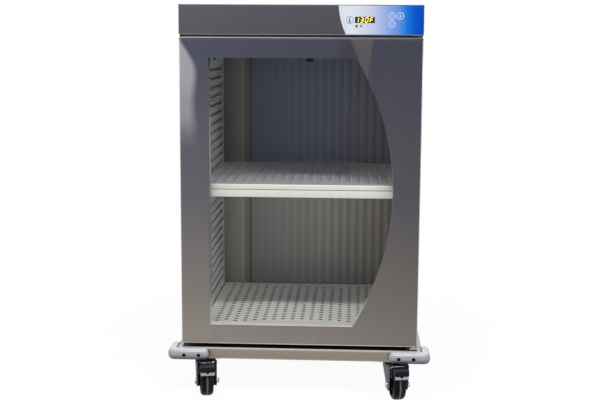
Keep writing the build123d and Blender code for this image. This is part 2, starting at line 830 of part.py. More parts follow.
with BuildPart() as door_skin:
    with BuildSketch(front_plane(front + skin_depth)):
        with Locations((0, door_mid_z)):
            Rectangle(body_width, door_height)
    extrude(amount=skin_depth)
    offset(amount=-sheet, openings=door_skin.faces().sort_by(Axis.Y)[-1])
    with BuildSketch(front_plane(front + sheet)):
        add(window_outline())
    extrude(amount=sheet, mode=Mode.SUBTRACT)
    block(
        (-half_width, front + lip_depth, door_bottom),
        (pan_left - seam, front + skin_depth, door_top),
        mode=Mode.SUBTRACT,
    )
    block(
        (sheet - half_width, front + lip_depth - sheet, door_bottom + sheet),
        (sheet + lip_return - half_width, front + lip_depth, door_top - sheet),
    )
    block(*pin_clearance, mode=Mode.SUBTRACT)
save(door_skin.part, "door_skin")

with BuildPart() as door_inner_pan:
    with BuildSketch(front_plane(front + door_thickness)):
        with Locations(((pan_left + pan_right) / 2, door_mid_z)):
            Rectangle(pan_right - pan_left, pan_high - pan_low)
    extrude(amount=pan_depth)
    offset(amount=-sheet, openings=door_inner_pan.faces().sort_by(Axis.Y)[0])
    with BuildSketch(front_plane(front + door_thickness)):
        add(window_outline(sheet))
    extrude(amount=front + door_thickness - inner_glass_rear)
    with BuildSketch(front_plane(front + door_thickness)):
        add(window_outline())
    extrude(amount=pan_depth, mode=Mode.SUBTRACT)
    block(*pin_clearance, mode=Mode.SUBTRACT)
save(door_inner_pan.part, "door_inner_pan")

for name, y in (("door_outer_glass", outer_glass_front), ("door_inner_glass", inner_glass_front)):
    with BuildPart() as glass:
        with BuildSketch(front_plane(y + glass_thickness)):
            add(window_outline(glass_margin))
        extrude(amount=glass_thickness)
    save(glass.part, name)

with BuildPart() as glazing_spacer:
    with BuildSketch(front_plane(inner_glass_front)):
        add(window_outline(spacer_cover + spacer_width))
        add(window_outline(spacer_cover), mode=Mode.SUBTRACT)
    extrude(amount=spacer_thickness)
save(glazing_spacer.part, "glazing_spacer")

block_levels = (pan_low + sheet, pan_high - sheet - hinge_block_height)
block_x = (pan_right - sheet - hinge_block_width, pan_right - sheet)
block_y = (hinge_y - hinge_block_front, hinge_y - hinge_block_front + hinge_block_depth)
with BuildPart() as door_hinge_blocks:
    for level in block_levels:
        block(
            (block_x[0], block_y[0], level),
            (block_x[1], block_y[1], level + hinge_block_height),
        )
    with BuildSketch(Plane.XY.offset(door_bottom)):
        with Locations((hinge_x, hinge_y)):
            Circle(hinge_pin_radius + fit_gap)
    extrude(amount=door_height, mode=Mode.SUBTRACT)
save(door_hinge_blocks.part, "door_hinge_blocks")

foam_gap = 0.2
with BuildPart() as door_foam:
    block(
        (pan_left + sheet + foam_gap, front + sheet, pan_low + sheet + foam_gap),
        (pan_right - sheet - foam_gap, front + door_thickness - sheet, pan_high - sheet - foam_gap),
    )
    with BuildSketch(front_plane(inner_glass_rear)):
        add(window_outline(glass_margin + foam_gap))
    extrude(amount=inner_glass_rear - front, mode=Mode.SUBTRACT)
    with BuildSketch(front_plane(front + door_thickness)):
        add(window_outline(sheet + foam_gap))
    extrude(amount=door_thickness, mode=Mode.SUBTRACT)
    for level in block_levels:
        block(
            (block_x[0] - foam_gap, block_y[0] - foam_gap, level - 2.0),
            (block_x[1] + 2.0, block_y[1] + foam_gap, level + hinge_block_height + 2.0),
            mode=Mode.SUBTRACT,
        )
save(door_foam.part, "door_foam")

gasket_outer_x = opening_half + 2.0 + gasket_width
gasket_low = opening_bottom - 2.0 - gasket_width
gasket_high = opening_top + 2.0 + gasket_width
gasket_size = (2 * gasket_outer_x, gasket_high - gasket_low)
with BuildPart() as door_gasket:
    with BuildSketch(front_plane(frame_face - moving_gap)):
        with Locations((0, (gasket_low + gasket_high) / 2)):
            Rectangle(*gasket_size)
            Rectangle(*(side - 2 * gasket_width for side in gasket_size), mode=Mode.SUBTRACT)
    extrude(amount=gasket_thickness - moving_gap)
save(door_gasket.part, "door_gasket")

# Lower hinge: a leaf on the body's side, folded under the door, with the pin standing up
leaf_back = frame_face + 40.0
leaf_low = door_bottom - 4.0 - hinge_leaf
leaf_left = hinge_x - 16.0
leaf_front = front + 3.0
with BuildPart() as lower_hinge:
    block(
        (leaf_left, leaf_front, leaf_low),
        (half_width + hinge_leaf, frame_face - 1.0, leaf_low + hinge_leaf),
    )
    block(
        (half_width, frame_face - 6.0, leaf_low),
        (half_width + hinge_leaf, leaf_back, leaf_low + side_leaf_height),
    )
    with BuildSketch(Plane.XY.offset(leaf_low + hinge_leaf)):
        with Locations((hinge_x, hinge_y)):
            RegularPolygon(hinge_collar, 6)
    extrude(amount=door_bottom - moving_gap - leaf_low - hinge_leaf)
    with BuildSketch(Plane.XY.offset(door_bottom - moving_gap)):
        with Locations((hinge_x, hinge_y)):
            Circle(hinge_pin_radius)
    extrude(amount=block_levels[0] + hinge_block_height - pin_short - door_bottom + moving_gap)
save(lower_hinge.part, "lower_hinge")

# Upper hinge: a flat leaf under the fascia, with the pin hanging down
upper_leaf = fascia_bottom - hinge_leaf
pin_low = block_levels[1] + pin_short
with BuildPart() as upper_hinge:
    block((leaf_left, leaf_front, upper_leaf), (half_width - bend, frame_face, fascia_bottom))
    with BuildSketch(Plane.XY.offset(door_top + moving_gap)):
        with Locations((hinge_x, hinge_y)):
            RegularPolygon(hinge_collar, 6)
    extrude(amount=upper_leaf - door_top - moving_gap)
    with BuildSketch(Plane.XY.offset(pin_low)):
        with Locations((hinge_x, hinge_y)):
            Circle(hinge_pin_radius)
    extrude(amount=door_top + moving_gap - pin_low)
save(upper_hinge.part, "upper_hinge")

# ---------------------------------------------------------------- control fascia
key_column_x = half_width - key_column
key_top_z = body_top - key_row_z + 1.5 + key_pitch / 2
key_points = {
    "key_up": (key_column_x, key_top_z),
    "key_set": (key_column_x + key_pitch, key_top_z),
    "key_down": (key_column_x, key_top_z - key_pitch),
}
display_place = (half_width - display_column, body_top - display_z)
hole_radius = key_radius + key_gap

with BuildPart() as control_fascia:
    with BuildSketch(front_plane(frame_face - seam)):
        with Locations((0, fascia_bottom + fascia_height / 2)):
            Rectangle(body_width, fascia_height)
    extrude(amount=frame_face - seam - front)
    offset(amount=-sheet, openings=control_fascia.faces().sort_by(Axis.Y)[-1])
    with BuildSketch(front_plane(front + sheet)):
        with Locations(*key_points.values()):
            Rectangle(2 * hole_radius, 2 * hole_radius)
        with Locations(display_place):
            Rectangle(display_width, display_height)
    extrude(amount=sheet, mode=Mode.SUBTRACT)
save(control_fascia.part, "control_fascia")

# Printed film with a curved left edge
film_top = body_top - bend
film_low = fascia_bottom + bend
film_right = half_width - bend
film_edge_low = half_width - 192.5
film_edge_middle = half_width - 205.0
film_edge_top = half_width - 210.7
film_middle = film_low + 0.48 * (film_top - film_low)
with BuildPart() as control_overlay:
    with BuildSketch(front_plane(front)):
        with BuildLine():
            ThreePointArc(
                (film_edge_low, film_low),
                (film_edge_middle, film_middle),
                (film_edge_top, film_top),
            )
            Polyline(
                (film_edge_top, film_top),
                (film_right, film_top),
                (film_right, film_low),
                (film_edge_low, film_low),
            )
        make_face()
        with Locations(*key_points.values()):
            Circle(hole_radius, mode=Mode.SUBTRACT)
        with Locations(display_place):
            Rectangle(display_width, display_height, mode=Mode.SUBTRACT)
    extrude(amount=film)
save(control_overlay.part, "control_overlay")

stem_end = front + board_gap - key_travel - 0.2
for name, (x, z) in key_points.items():
    with BuildPart() as key:
        with BuildSketch(front_plane(front + sheet)):
            with Locations((x, z)):
                Circle(key_radius)
        extrude(amount=sheet + key_proud)
        with BuildSketch(front_plane(stem_end)):
            with Locations((x, z)):
                Rectangle(6.0, 6.0)
        extrude(amount=stem_end - front - sheet)
    save(key.part, name)

board_low = fascia_bottom + 6.0
board_high = body_top - 6.0
board_x = (half_width - 195.0, half_width - 15.0)
board_front = front + board_gap
standoff_radius = 3.0
standoff_inset = 5.0
display_bezel = 8.0
display_proud = 0.3
with BuildPart() as display_module:
    with BuildSketch(front_plane(board_front)):
        with Locations(display_place):
            Rectangle(display_width + display_bezel, display_height + display_bezel)
    extrude(amount=board_gap - sheet)
    with BuildSketch(front_plane(front + sheet)):
        with Locations(display_place):
            Rectangle(display_width - 2 * seam, display_height - 2 * seam)
    extrude(amount=sheet + display_proud)
save(display_module.part, "display_module")

with BuildPart() as control_board:
    block((board_x[0], board_front, board_low), (board_x[1], board_front + board_thickness, board_high))
    for x in (board_x[0] + standoff_inset, board_x[1] - standoff_inset):
        for z in (board_low + standoff_inset, board_high - standoff_inset):
            with BuildSketch(front_plane(board_front)):
                with Locations((x, z)):
                    RegularPolygon(standoff_radius, 6)
            extrude(amount=board_gap - sheet)
    board_back = board_front + board_thickness
    transformer_left = board_x[0] + 20.0
    relay_left = board_x[0] + 80.0
    chip_left = board_x[0] + 115.0
    parts_low = board_low + 12.0
    block(
        (transformer_left, board_back, parts_low),
        (transformer_left + 40.0, board_back + 20.0, parts_low + 35.0),
    )
    block((relay_left, board_back, parts_low), (relay_left + 20.0, board_back + 15.0, parts_low + 28.0))
    block((chip_left, board_back, parts_low + 8.0), (chip_left + 35.0, board_back + 3.0, parts_low + 26.0))
save(control_board.part, "control_board")
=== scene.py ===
from math import atan2, cos, pi, radians, sin, sqrt

import bmesh
import bpy
from mathutils import Matrix, Vector


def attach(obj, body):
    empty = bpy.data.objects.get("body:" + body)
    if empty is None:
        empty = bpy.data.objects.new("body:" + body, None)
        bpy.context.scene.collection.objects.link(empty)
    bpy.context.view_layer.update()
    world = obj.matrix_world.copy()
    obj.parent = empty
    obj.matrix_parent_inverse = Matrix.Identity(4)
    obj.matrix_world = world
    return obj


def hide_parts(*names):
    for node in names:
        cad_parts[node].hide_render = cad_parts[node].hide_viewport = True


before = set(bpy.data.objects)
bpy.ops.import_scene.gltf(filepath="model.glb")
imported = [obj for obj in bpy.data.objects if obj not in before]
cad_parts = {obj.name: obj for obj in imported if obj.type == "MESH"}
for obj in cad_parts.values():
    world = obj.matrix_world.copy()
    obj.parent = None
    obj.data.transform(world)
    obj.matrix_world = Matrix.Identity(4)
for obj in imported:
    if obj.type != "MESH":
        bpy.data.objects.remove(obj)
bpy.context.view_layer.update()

print("camera and studio")
cameraView = {
    "place": (0.14264, -3.0088, 0.9128),
    "lens": 64.12,
    "sensor": 36.0,
    "farEnd": 100.0,
    "pitch": 0.1464,  # looks down
    "yaw": -0.0528,  # looks to the left of straight ahead
    "roll": 0.0053,
}


def newObject(name, data):
    made = bpy.data.objects.new(name, data)
    bpy.context.scene.collection.objects.link(made)
    return made


def makeCamera(view):
    camera = newObject("camera", bpy.data.cameras.new("camera"))
    camera.data.lens = view["lens"]
    camera.data.sensor_width = view["sensor"]
    camera.data.clip_end = view["farEnd"]
    turn, tilt, roll = view["yaw"], view["pitch"], view["roll"]
    ahead = Vector((sin(turn) * cos(tilt), cos(turn) * cos(tilt), -sin(tilt)))
    right = Vector((cos(turn), -sin(turn), 0))
    up = right.cross(ahead)
    axes = Matrix((right * cos(roll) + up * sin(roll), up * cos(roll) - right * sin(roll), -ahead))
    camera.matrix_world = Matrix.Translation(Vector(view["place"])) @ axes.transposed().to_4x4()
    bpy.context.scene.camera = camera


makeCamera(cameraView)
bpy.context.scene.view_settings.view_transform = "Standard"


class Value:
    # one output socket, so that an expression on values adds its Math nodes
    def __init__(self, maker, socket):
        self.maker = maker
        self.socket = socket

    def join(self, operation, first, second=0.0, clamp=False):
        settings = {"operation": operation, "use_clamp": clamp}
        return self.maker.node("ShaderNodeMath", settings, {0: first, 1: second})

    def __add__(self, other):
        return self.join("ADD", self, other)

    def __radd__(self, other):
        return self.join("ADD", other, self)

    def __sub__(self, other):
        return self.join("SUBTRACT", self, other)

    def __rsub__(self, other):
        return self.join("SUBTRACT", other, self)

    def __mul__(self, other):
        return self.join("MULTIPLY", self, other)

    def __rmul__(self, other):
        return self.join("MULTIPLY", other, self)

    def __truediv__(self, other):
        return self.join("DIVIDE", self, other)

    def __pow__(self, other):
        return self.join("POWER", self, other)

    def __lt__(self, other):
        return self.join("LESS_THAN", self, other)

    def __gt__(self, other):
        return self.join("GREATER_THAN", self, other)

    def __abs__(self):
        return self.join("ABSOLUTE", self)

    def sine(self):
        return self.join("SINE", self)

    def clamp(self):
        return self.join("ADD", self, 0.0, True)

    def span(self, low, high):
        # 0 at low and below, 1 at high and above
        return ((self - low) / (high - low)).clamp()

    def below(self, edge, soft):
        # 1 below the edge and 0 above it, over a soft width
        return ((edge - self) / soft + 0.5).clamp()


def paint(red, green, blue):
    # screen colour, 0 to 255, as light
    def light(level):
        level = level / 255
        return level / 12.92 if level <= 0.04045 else ((level + 0.055) / 1.055) ** 2.4

    return (light(red), light(green), light(blue), 1.0)


class Maker:
    # adds nodes to one tree: settings first, then a value or a link for each socket
    def __init__(self, tree):
        self.tree = tree

    def node(self, kind, settings=None, values=None, output=0):
        made = self.tree.nodes.new(kind)
        for key, value in (settings or {}).items():
            if key == "stops":
                ramp = made.color_ramp
                while len(ramp.elements) < len(value):
                    ramp.elements.new(1.0)
                for element, (place, colour) in zip(ramp.elements, value):
                    element.position = place
                    element.color = colour
            else:
                setattr(made.color_ramp if key == "interpolation" else made, key, value)
        for key, value in (values or {}).items():
            if isinstance(value, Value):
                self.tree.links.new(value.socket, made.inputs[key])
            else:
                made.inputs[key].default_value = value
        return Value(self, made.outputs[output]) if len(made.outputs) else made

    def seenRays(self):
        # 1 for what the eye, a mirror or a pane sees, 0 for light on the object
        names = ("Is Camera Ray", "Is Glossy Ray", "Is Transmission Ray")
        eye, mirror, pane = (self.node("ShaderNodeLightPath", None, None, name) for name in names)
        return (eye + mirror + pane).clamp()


class Finish(Maker):
    # one material; colours are screen colours
    def __init__(self, name):
        self.material = bpy.data.materials.new(name)
        self.material.use_nodes = True
        self.material.node_tree.nodes.clear()
        super().__init__(self.material.node_tree)
        self.point = self.node("ShaderNodeTexCoord", None, None, "Object")

    def along(self, axis):
        return self.node("ShaderNodeSeparateXYZ", None, {0: self.point}, axis)

    def noise(self, stretch, detail=3.0, roughness=0.6):
        scale = stretch if isinstance(stretch, tuple) else (stretch, stretch, stretch)
        mapped = self.node("ShaderNodeMapping", None, {"Vector": self.point, "Scale": scale})
        values = {"Vector": mapped, "Scale": 1.0, "Detail": detail, "Roughness": roughness}
        return self.node("ShaderNodeTexNoise", None, values, "Fac")

    def ramp(self, factor, stops):
        stops = [(place, paint(*colour)) for place, *colour in stops]
        return self.node("ShaderNodeValToRGB", {"stops": stops}, {0: factor})

    def curve(self, factor, stops, interpolation="LINEAR"):
        stops = [(place, (level, level, level, 1.0)) for place, level in stops]
        settings = {"stops": stops, "interpolation": interpolation}
        return self.node("ShaderNodeValToRGB", settings, {0: factor})

    def tint(self, colour):
        return colour if isinstance(colour, Value) else paint(*colour)

    def blend(self, factor, first, second):
        # sockets 6 and 7 are the two colours
        values = {0: factor, 6: self.tint(first), 7: self.tint(second)}
        return self.node("ShaderNodeMix", {"data_type": "RGBA"}, values, 2)

    def shade(self, colour, factor):
        colour = colour if isinstance(colour, Value) else paint(*colour)[:3]
        return self.node("ShaderNodeVectorMath", {"operation": "SCALE"}, {0: colour, "Scale": factor})

    def bump(self, height, strength, distance=0.0003):
        values = {"Height": height, "Strength": strength, "Distance": distance}
        return self.node("ShaderNodeBump", None, values)

    def surface(self, values):
        return self.cover(self.node("ShaderNodeBsdfPrincipled", None, values))

    def cover(self, shader):
        self.node("ShaderNodeOutputMaterial", None, {0: shader})
        return self.material


studio = {
    "floorSize": 40.0,
    "floorColour": (0.94, 0.94, 0.94, 1.0),
    "nearWhite": 0.95,
    "fade": (0.4, 1.2),  # metres from the middle
    "ambient": 0.33,
    "aim": (0, 0, 0.5),
    "lamps": {  # place, width and height in metres, watts
        "keyLamp": ((0.2, -3.6, 4.75), (3.2, 0.45), 186.0),
        "fillLamp": ((-3.4, -2.6, 2.2), (2.2, 2.2), 30.0),
        "sideLamp": ((2.6, -3.4, 2.35), (0.7, 0.7), 26.0),
    },
}
white = (1.0, 1.0, 1.0, 1.0)


def floorFinish(values):
    # plain pale floor that fades to white away from the object and keeps its shadow
    made = Finish("paleFloor")
    across, along = made.along("X"), made.along("Y")
    reach = (across * across + along * along) ** 0.5
    fade = values["nearWhite"] + (1.0 - values["nearWhite"]) * reach.span(*values["fade"])
    plain = made.node("ShaderNodeBsdfDiffuse", None, {"Color": values["floorColour"], "Roughness": 0.5})
    bright = made.node("ShaderNodeEmission", None, {"Color": white, "Strength": 1.0})
    factor = made.seenRays() * fade
    return made.cover(made.node("ShaderNodeMixShader", None, {0: factor, 1: plain, 2: bright}))


def makeStudio(values):
    world = bpy.data.worlds.new("studio")
    bpy.context.scene.world = world
    world.use_nodes = True
    world.node_tree.nodes.clear()
    sky = Maker(world.node_tree)
    dim, bright = (
        sky.node("ShaderNodeBackground", None, {"Color": colour, "Strength": strength})
        for colour, strength in (((0.96, 0.98, 1.0, 1.0), values["ambient"]), (white, 1.0)))
    mixed = sky.node("ShaderNodeMixShader", None, {0: sky.seenRays(), 1: dim, 2: bright})
    sky.node("ShaderNodeOutputWorld", None, {0: mixed})
    size = values["floorSize"] / 2
    mesh = bpy.data.meshes.new("floor")
    corners = [(x * size, y * size, 0) for x, y in ((-1, -1), (1, -1), (1, 1), (-1, 1))]
    mesh.from_pydata(corners, [], [(0, 1, 2, 3)])
    mesh.materials.append(floorFinish(values))
    floor = newObject("floor", mesh)
    for name, (place, size, power) in values["lamps"].items():
        data = bpy.data.lights.new(name, "AREA")
        data.shape = "RECTANGLE"
        data.size, data.size_y = size
        data.energy = power
        lamp = newObject(name, data)
        lamp.location = place
        lamp.rotation_euler = (Vector(values["aim"]) - Vector(place)).to_track_quat("-Z", "Y").to_euler()


makeStudio(studio)

print("finishes of steel")
# painted reflections and a painted highlight on the door's front skin
paintedDoorReflections = {
    "face": -0.325,  # the door's front skin lies before this
    "left": -0.305,
    "low": 0.6414,
    "top": 0.9225,
    "reach": 0.05,  # metres at a level of 1
    "widths": (
        (0.0, 0.8), (0.2, 0.78), (0.4, 0.62), (0.55, 0.73), (0.7, 0.86), (0.8, 0.68), (0.893, 0.36),
        (0.96, 0.1), (1.0, 0.0)),
    "strengths": (
        (0.0, 0.0), (0.1, 0.14), (0.18, 0.33), (0.27, 0.66), (0.33, 0.75), (0.45, 0.77), (0.63, 0.95),
        (1.0, 1.0)),
    "pale": (155, 156, 162),
    "funnelTop": 0.9143,
    "funnelFade": (0.78, 0.83),
    "funnelLeft": (0.128, 0.4),  # place at the top, drift for each metre down
    "funnelRight": (0.1823, 0.125),
    "funnelSoft": (0.008, 0.006),
    "brown": (89, 84, 88),
    "dull": (62, 63, 70),
    "dullFrom": (0.085, 0.115),
    "foot": 0.1409,
    "paintedFootHighlight": (172, 167, 161),
}


def paintDoorReflections(made, colour, values):
    # painted reflections on the door: a soft pale patch down the door's left edge, and a brown one with a
    # dull one beside it under the fascia; a painted highlight along the door's foot
    across, up = made.along("X"), made.along("Z")
    front = (made.along("Y") < values["face"]) * (up < values["top"])
    height = up.span(values["low"], values["top"])
    # painted reflection of a bright lamp down the door's left edge
    width = made.curve(height, values["widths"], "B_SPLINE") * values["reach"]
    paintedReflectionPatch = across.below(width + values["left"], 0.010 + 0.016 * (1.0 - height))
    paintedReflectionPatch = paintedReflectionPatch * made.curve(height, values["strengths"])
    colour = made.blend(paintedReflectionPatch * front, colour, values["pale"])
    # painted reflection under the fascia: a brown funnel with a dull patch to its left
    drop = values["funnelTop"] - up
    (left, leftDrift), (right, rightDrift) = values["funnelLeft"], values["funnelRight"]
    softLeft, softRight = values["funnelSoft"]
    fromLeft = (across - left - leftDrift * drop) / softLeft
    fromRight = ((right - rightDrift * drop - across) / softRight).clamp()
    fade = up.span(*values["funnelFade"]) * front
    dull = across.span(*values["dullFrom"]) * (0.5 - fromLeft).clamp()
    colour = made.blend(dull * fade * 0.75, colour, values["dull"])
    # painted highlight along the door's bottom fold
    colour = made.blend(up.below(values["foot"], 0.0004) * front, colour, values["paintedFootHighlight"])
    return made.blend((fromLeft + 0.5).clamp() * fromRight * fade * 0.95, colour, values["brown"])


def steelFinish(name, spec):
    # sheet steel with a fine brushed grain; its colour runs with height. On the casing the height ramp and
    # the darkening to the right are painted reflection of the room
    made = Finish(name)
    height = (made.along("Z") - spec["low"]) / (spec["high"] - spec["low"])
    grain = made.noise(spec["grain"], 4.0, 0.7)
    colour = made.ramp((height + 0.03 * (grain - 0.5)).clamp(), spec["stops"])
    # painted light and shade in the window's tunnel, for the wedge of lamplight through the window
    if "paintedTunnelLight" in spec:
        face, stops = spec["paintedTunnelLight"]
        colour = made.blend(made.along("Y") < face, colour, made.ramp(height.clamp(), stops))
    # painted reflection: darker towards the right
    if spec["side"]:
        colour = made.shade(colour, 1.0 - spec["side"] * made.along("X"))
    cloud = made.noise((2.2, 2.2, 1.4), 2.0, 0.5)
    level = 1.0 + spec["contrast"] * (grain - 0.5) + spec["cloud"] * (cloud - 0.5)
    # painted sheen: upright streaks of reflection in the brushed steel
    if spec["paintedSheenStreak"]:
        level = level + spec["paintedSheenStreak"] * (made.noise((38.0, 1.0, 0.7), 3.0, 0.55) - 0.5)
    # painted light and shade: a step in brightness from front to back at the lamp's shadow edge
    if "depth" in spec:
        near, far, stops = spec["depth"]
        colour = made.shade(colour, made.curve(made.along("Y").span(near, far), stops))
    # painted sheen: bands at the slots' pitch
    if spec["paintedSheenRipple"]:
        level = level + spec["paintedSheenRipple"] * (made.along("X") * (2 * pi / 0.0254)).sine()
    colour = made.shade(colour, level)
    if "paintedDoorReflections" in spec:
        colour = paintDoorReflections(made, colour, spec["paintedDoorReflections"])
    return made.surface({
        "Base Color": colour,
        "Metallic": spec["metallic"],
        "Roughness": spec["roughness"] + 0.12 * (grain - 0.5),
        "Specular IOR Level": spec["gloss"],
        "Normal": made.bump(grain, spec["relief"], 0.0004),
    })


def even(*colour):
    # one colour from bottom to top
    return ((0.0, *colour), (1.0, *colour))


plainSteel = {
    "low": 0.1375,
    "high": 1.0055,
    "side": 0.0,
    "grain": (3.0, 900.0, 900.0),
    "metallic": 1.0,
    "roughness": 0.34,
    "gloss": 0.5,
    "contrast": 0.12,
    "cloud": 0.06,
    "paintedSheenStreak": 0.0,
    "paintedSheenRipple": 0.0,
    "relief": 0.05,
}
paleSteel = dict(plainSteel, low=0.0, high=1.0)
chamberSteel = dict(
    plainSteel, low=0.1355, high=0.8955, metallic=0.35, roughness=0.38, grain=(900.0, 3.0, 900.0),
    stops=((0.0, 186, 190, 182), (1.0, 158, 162, 158)))
shelfSteel = dict(chamberSteel, roughness=0.36, paintedSheenStreak=0.08)
zinc = dict(
    plainSteel, low=0.0, high=0.2, roughness=0.28, grain=300.0, cloud=0.25,
    stops=((0.0, 150, 152, 156), (1.0, 165, 167, 170)))
steels = {
    # painted reflection of the room: bluish dark at the top, warmer and lighter lower down
    "brushedCasing": dict(plainSteel, side=0.6, paintedSheenStreak=0.10, paintedDoorReflections=paintedDoorReflections, stops=(
        (0.0, 133, 127, 121), (0.13, 120, 114, 109), (0.43, 93, 91, 96), (0.895, 71, 72, 86),
        (0.912, 84, 82, 89), (1.0, 84, 82, 89))),
    "brushedSides": dict(plainSteel, contrast=0.2, cloud=0.12, stops=(
        (0.0, 146, 141, 136), (0.4, 126, 124, 125), (0.9, 112, 112, 118), (0.915, 120, 119, 122),
        (1.0, 124, 123, 126))),
    # painted highlight along the bottom fold
    "brushedBase": dict(plainSteel, low=0.0955, high=0.1355, side=0.1, stops=(
        (0.0, 160, 152, 142), (0.19, 158, 150, 140), (0.25, 139, 130, 118), (1.0, 143, 133, 122))),
    # painted highlight on folded edges
    "foldedEdge": dict(paleSteel, roughness=0.26, stops=(
        (0.0, 214, 208, 202), (0.5, 204, 200, 198), (1.0, 190, 188, 190))),
    # pale sheet used as painted light on lit edges, folds and slot walls
    "paleSheet": dict(paleSteel, metallic=0.25, roughness=0.4, stops=(
        (0.0, 240, 238, 234), (1.0, 238, 238, 236))),
    "linerSheet": chamberSteel,
    # painted light and shade in the door's window tunnel
    "innerPan": dict(chamberSteel, low=0.1375, high=0.925, metallic=0.1, paintedTunnelLight=(-0.2945, (
        (0.0, 255, 255, 250), (0.11, 250, 250, 244), (0.16, 170, 173, 168), (0.46, 150, 152, 152),
        (0.6, 214, 216, 214), (0.7, 214, 216, 214), (0.8, 136, 138, 142), (1.0, 124, 126, 130)))),
    "shadedLiner": dict(chamberSteel, stops=((0.0, 126, 127, 124), (1.0, 112, 114, 116))),
    "rackSheet": dict(chamberSteel, metallic=0.05, stops=((0.0, 248, 250, 248), (1.0, 238, 241, 246))),
    "chamberWall": dict(chamberSteel, metallic=0.15, stops=((0.0, 240, 241, 240), (1.0, 226, 228, 234))),
    # painted light and shade from front to back on the pan and the shelf deck
    "panSheet": dict(shelfSteel, metallic=0.05, stops=even(255, 255, 250),
                depth=(-0.264, 0.247, ((0.0, 0.9), (0.46, 0.9), (0.54, 1.0), (1.0, 1.0)))),
    # painted sheen bands across the shelf deck
    "deckSheet": dict(shelfSteel, metallic=0.1, paintedSheenRipple=0.02, stops=even(249, 251, 255),
                 depth=(-0.278, 0.244, ((0.0, 0.66), (0.15, 0.63), (0.42, 0.44), (0.46, 1.0), (1.0, 1.0)))),
    "lipSheet": dict(shelfSteel, metallic=0.15, stops=even(233, 231, 224)),
    # painted light on the window's bottom edge, painted shade higher up
    "spacerStrip": dict(plainSteel, low=0.18, high=0.88, metallic=0.2, stops=(
        (0.0, 238, 236, 228), (0.02, 236, 234, 226), (0.05, 170, 172, 166), (0.35, 112, 114, 110),
        (1.0, 78, 80, 80))),
    "zincPlate": zinc,
    # bright zinc of the nuts, also a painted highlight on the pedal's rib
    "brightZinc": dict(zinc, roughness=0.16, cloud=0.0, stops=even(158, 162, 170)),
    "hingeSteel": dict(zinc, roughness=0.4, stops=((0.0, 62, 60, 62), (1.0, 70, 66, 66))),
    "forkZinc": dict(
        zinc, metallic=0.15, gloss=0.12, roughness=0.45, grain=(60.0, 60.0, 9.0), contrast=0.9, cloud=0.3,
        stops=((0.0, 88, 95, 102), (0.5, 82, 90, 98), (1.0, 82, 90, 98))),
    # painted shade inside the fork legs
    "forkInside": dict(zinc, roughness=0.5, stops=((0.0, 17, 17, 19), (1.0, 20, 20, 24))),
}
finishes = {name: steelFinish(name, spec) for name, spec in steels.items()}

print("finishes that change from place to place")
trayTopLook = {
    "low": -0.3295,  # footprint of the body above
    "high": 0.3295,
    "side": 0.3045,
    # painted shadow lines in the gaps between the tray and the bumpers
    "paintedShadowLines": (0.3125, 0.3355),  # along the bumpers' inner sides
    "paintedShadowFrom": (0.262, 0.29),
    "pale": (208, 206, 201),
}


def trayTopFinish(values):
    # pale brushed sheet outside the body's footprint; painted shade: black under the body, and a darker line
    # along the bumpers' inner sides
    made = Finish("trayTop")
    across, along = made.along("X"), made.along("Y")
    # painted shade under the body
    under = (abs(across) < values["side"]) * (along > values["low"]) * (along < values["high"])
    grain = made.noise((3.0, 700.0, 700.0), 4.0, 0.7)
    (lineX, lineY), (nearX, nearY) = values["paintedShadowLines"], values["paintedShadowFrom"]
    # painted shadow along the bumpers' inner sides
    paintedShadowLine = (abs(along) > lineY) * (abs(across) > nearX) + (abs(across) > lineX) * (abs(along) > nearY)
    pale = made.shade(values["pale"], (0.94 + 0.12 * grain) * (1.0 - 0.45 * paintedShadowLine.clamp()))
    return made.surface({
        "Base Color": made.blend(under, pale, (6, 6, 6)),
        "Metallic": 0.1 - 0.1 * under,
        "Roughness": 0.5 + 0.1 * under + 0.1 * (grain - 0.5),
        "Normal": made.bump(grain, 0.05, 0.0004),
    })


# painted reflections of the chamber on the back wall, in colours across its width
backWallLook = {
    "halfWidth": 0.28,
    "pitch": 0.0254,
    "drop": (0.53, 0.56),  # the shelf's height, where the upper colours end
    "foot": (0.16, 0.26),
    "upper": (
        (0.0, 78, 78, 82), (0.02, 74, 75, 80), (0.12, 114, 112, 110), (0.136, 122, 120, 114),
        (0.142, 90, 92, 86), (0.166, 88, 89, 84), (0.172, 46, 47, 54), (0.185, 76, 79, 103),
        (0.6, 80, 83, 106), (0.8, 88, 87, 100), (1.0, 92, 92, 94)),
    "lower": (
        (0.0, 124, 122, 117), (0.12, 165, 161, 151), (0.136, 178, 173, 160), (0.142, 134, 132, 120),
        (0.166, 130, 128, 116), (0.172, 76, 74, 72), (0.185, 136, 133, 134), (0.6, 142, 139, 135),
        (1.0, 138, 131, 122)),
}


def backWallFinish(values):
    # horizontally brushed sheet with painted reflection: what stands in front of it is painted in as upright
    # bands, lighter below the shelf
    made = Finish("backWallSheet")
    across, up = made.along("X"), made.along("Z")
    place = across.span(-values["halfWidth"], values["halfWidth"])
    upper, lower = made.ramp(place, values["upper"]), made.ramp(place, values["lower"])
    # painted reflection of the pan's slot columns
    paintedSheenRipple = (across * (2 * pi / values["pitch"])).sine() * (place * 0.42 - 0.09).clamp()
    colour = made.blend(1.0 - up.span(*values["drop"]), upper, lower)
    # painted reflection: near the foot the colour moves towards a brighter copy of the upper colours
    colour = made.blend((1.0 - up.span(*values["foot"])) * 0.6, colour, made.shade(upper, 1.45))
    colour = made.shade(colour, 1.0 + paintedSheenRipple + 0.18 * (made.noise((60.0, 1.0, 1.2)) - 0.5))
    return made.surface({"Base Color": colour, "Metallic": 0.6, "Roughness": 0.4})


bumperLook = {
    "heights": (0.1005, 0.1285),
    # painted light and shade from bottom to top
    "stops": (
        (0.0, 60, 62, 66), (0.22, 90, 91, 96), (0.5, 142, 144, 149), (0.82, 160, 162, 167),
        (0.95, 190, 190, 194), (1.0, 222, 222, 225)),
}


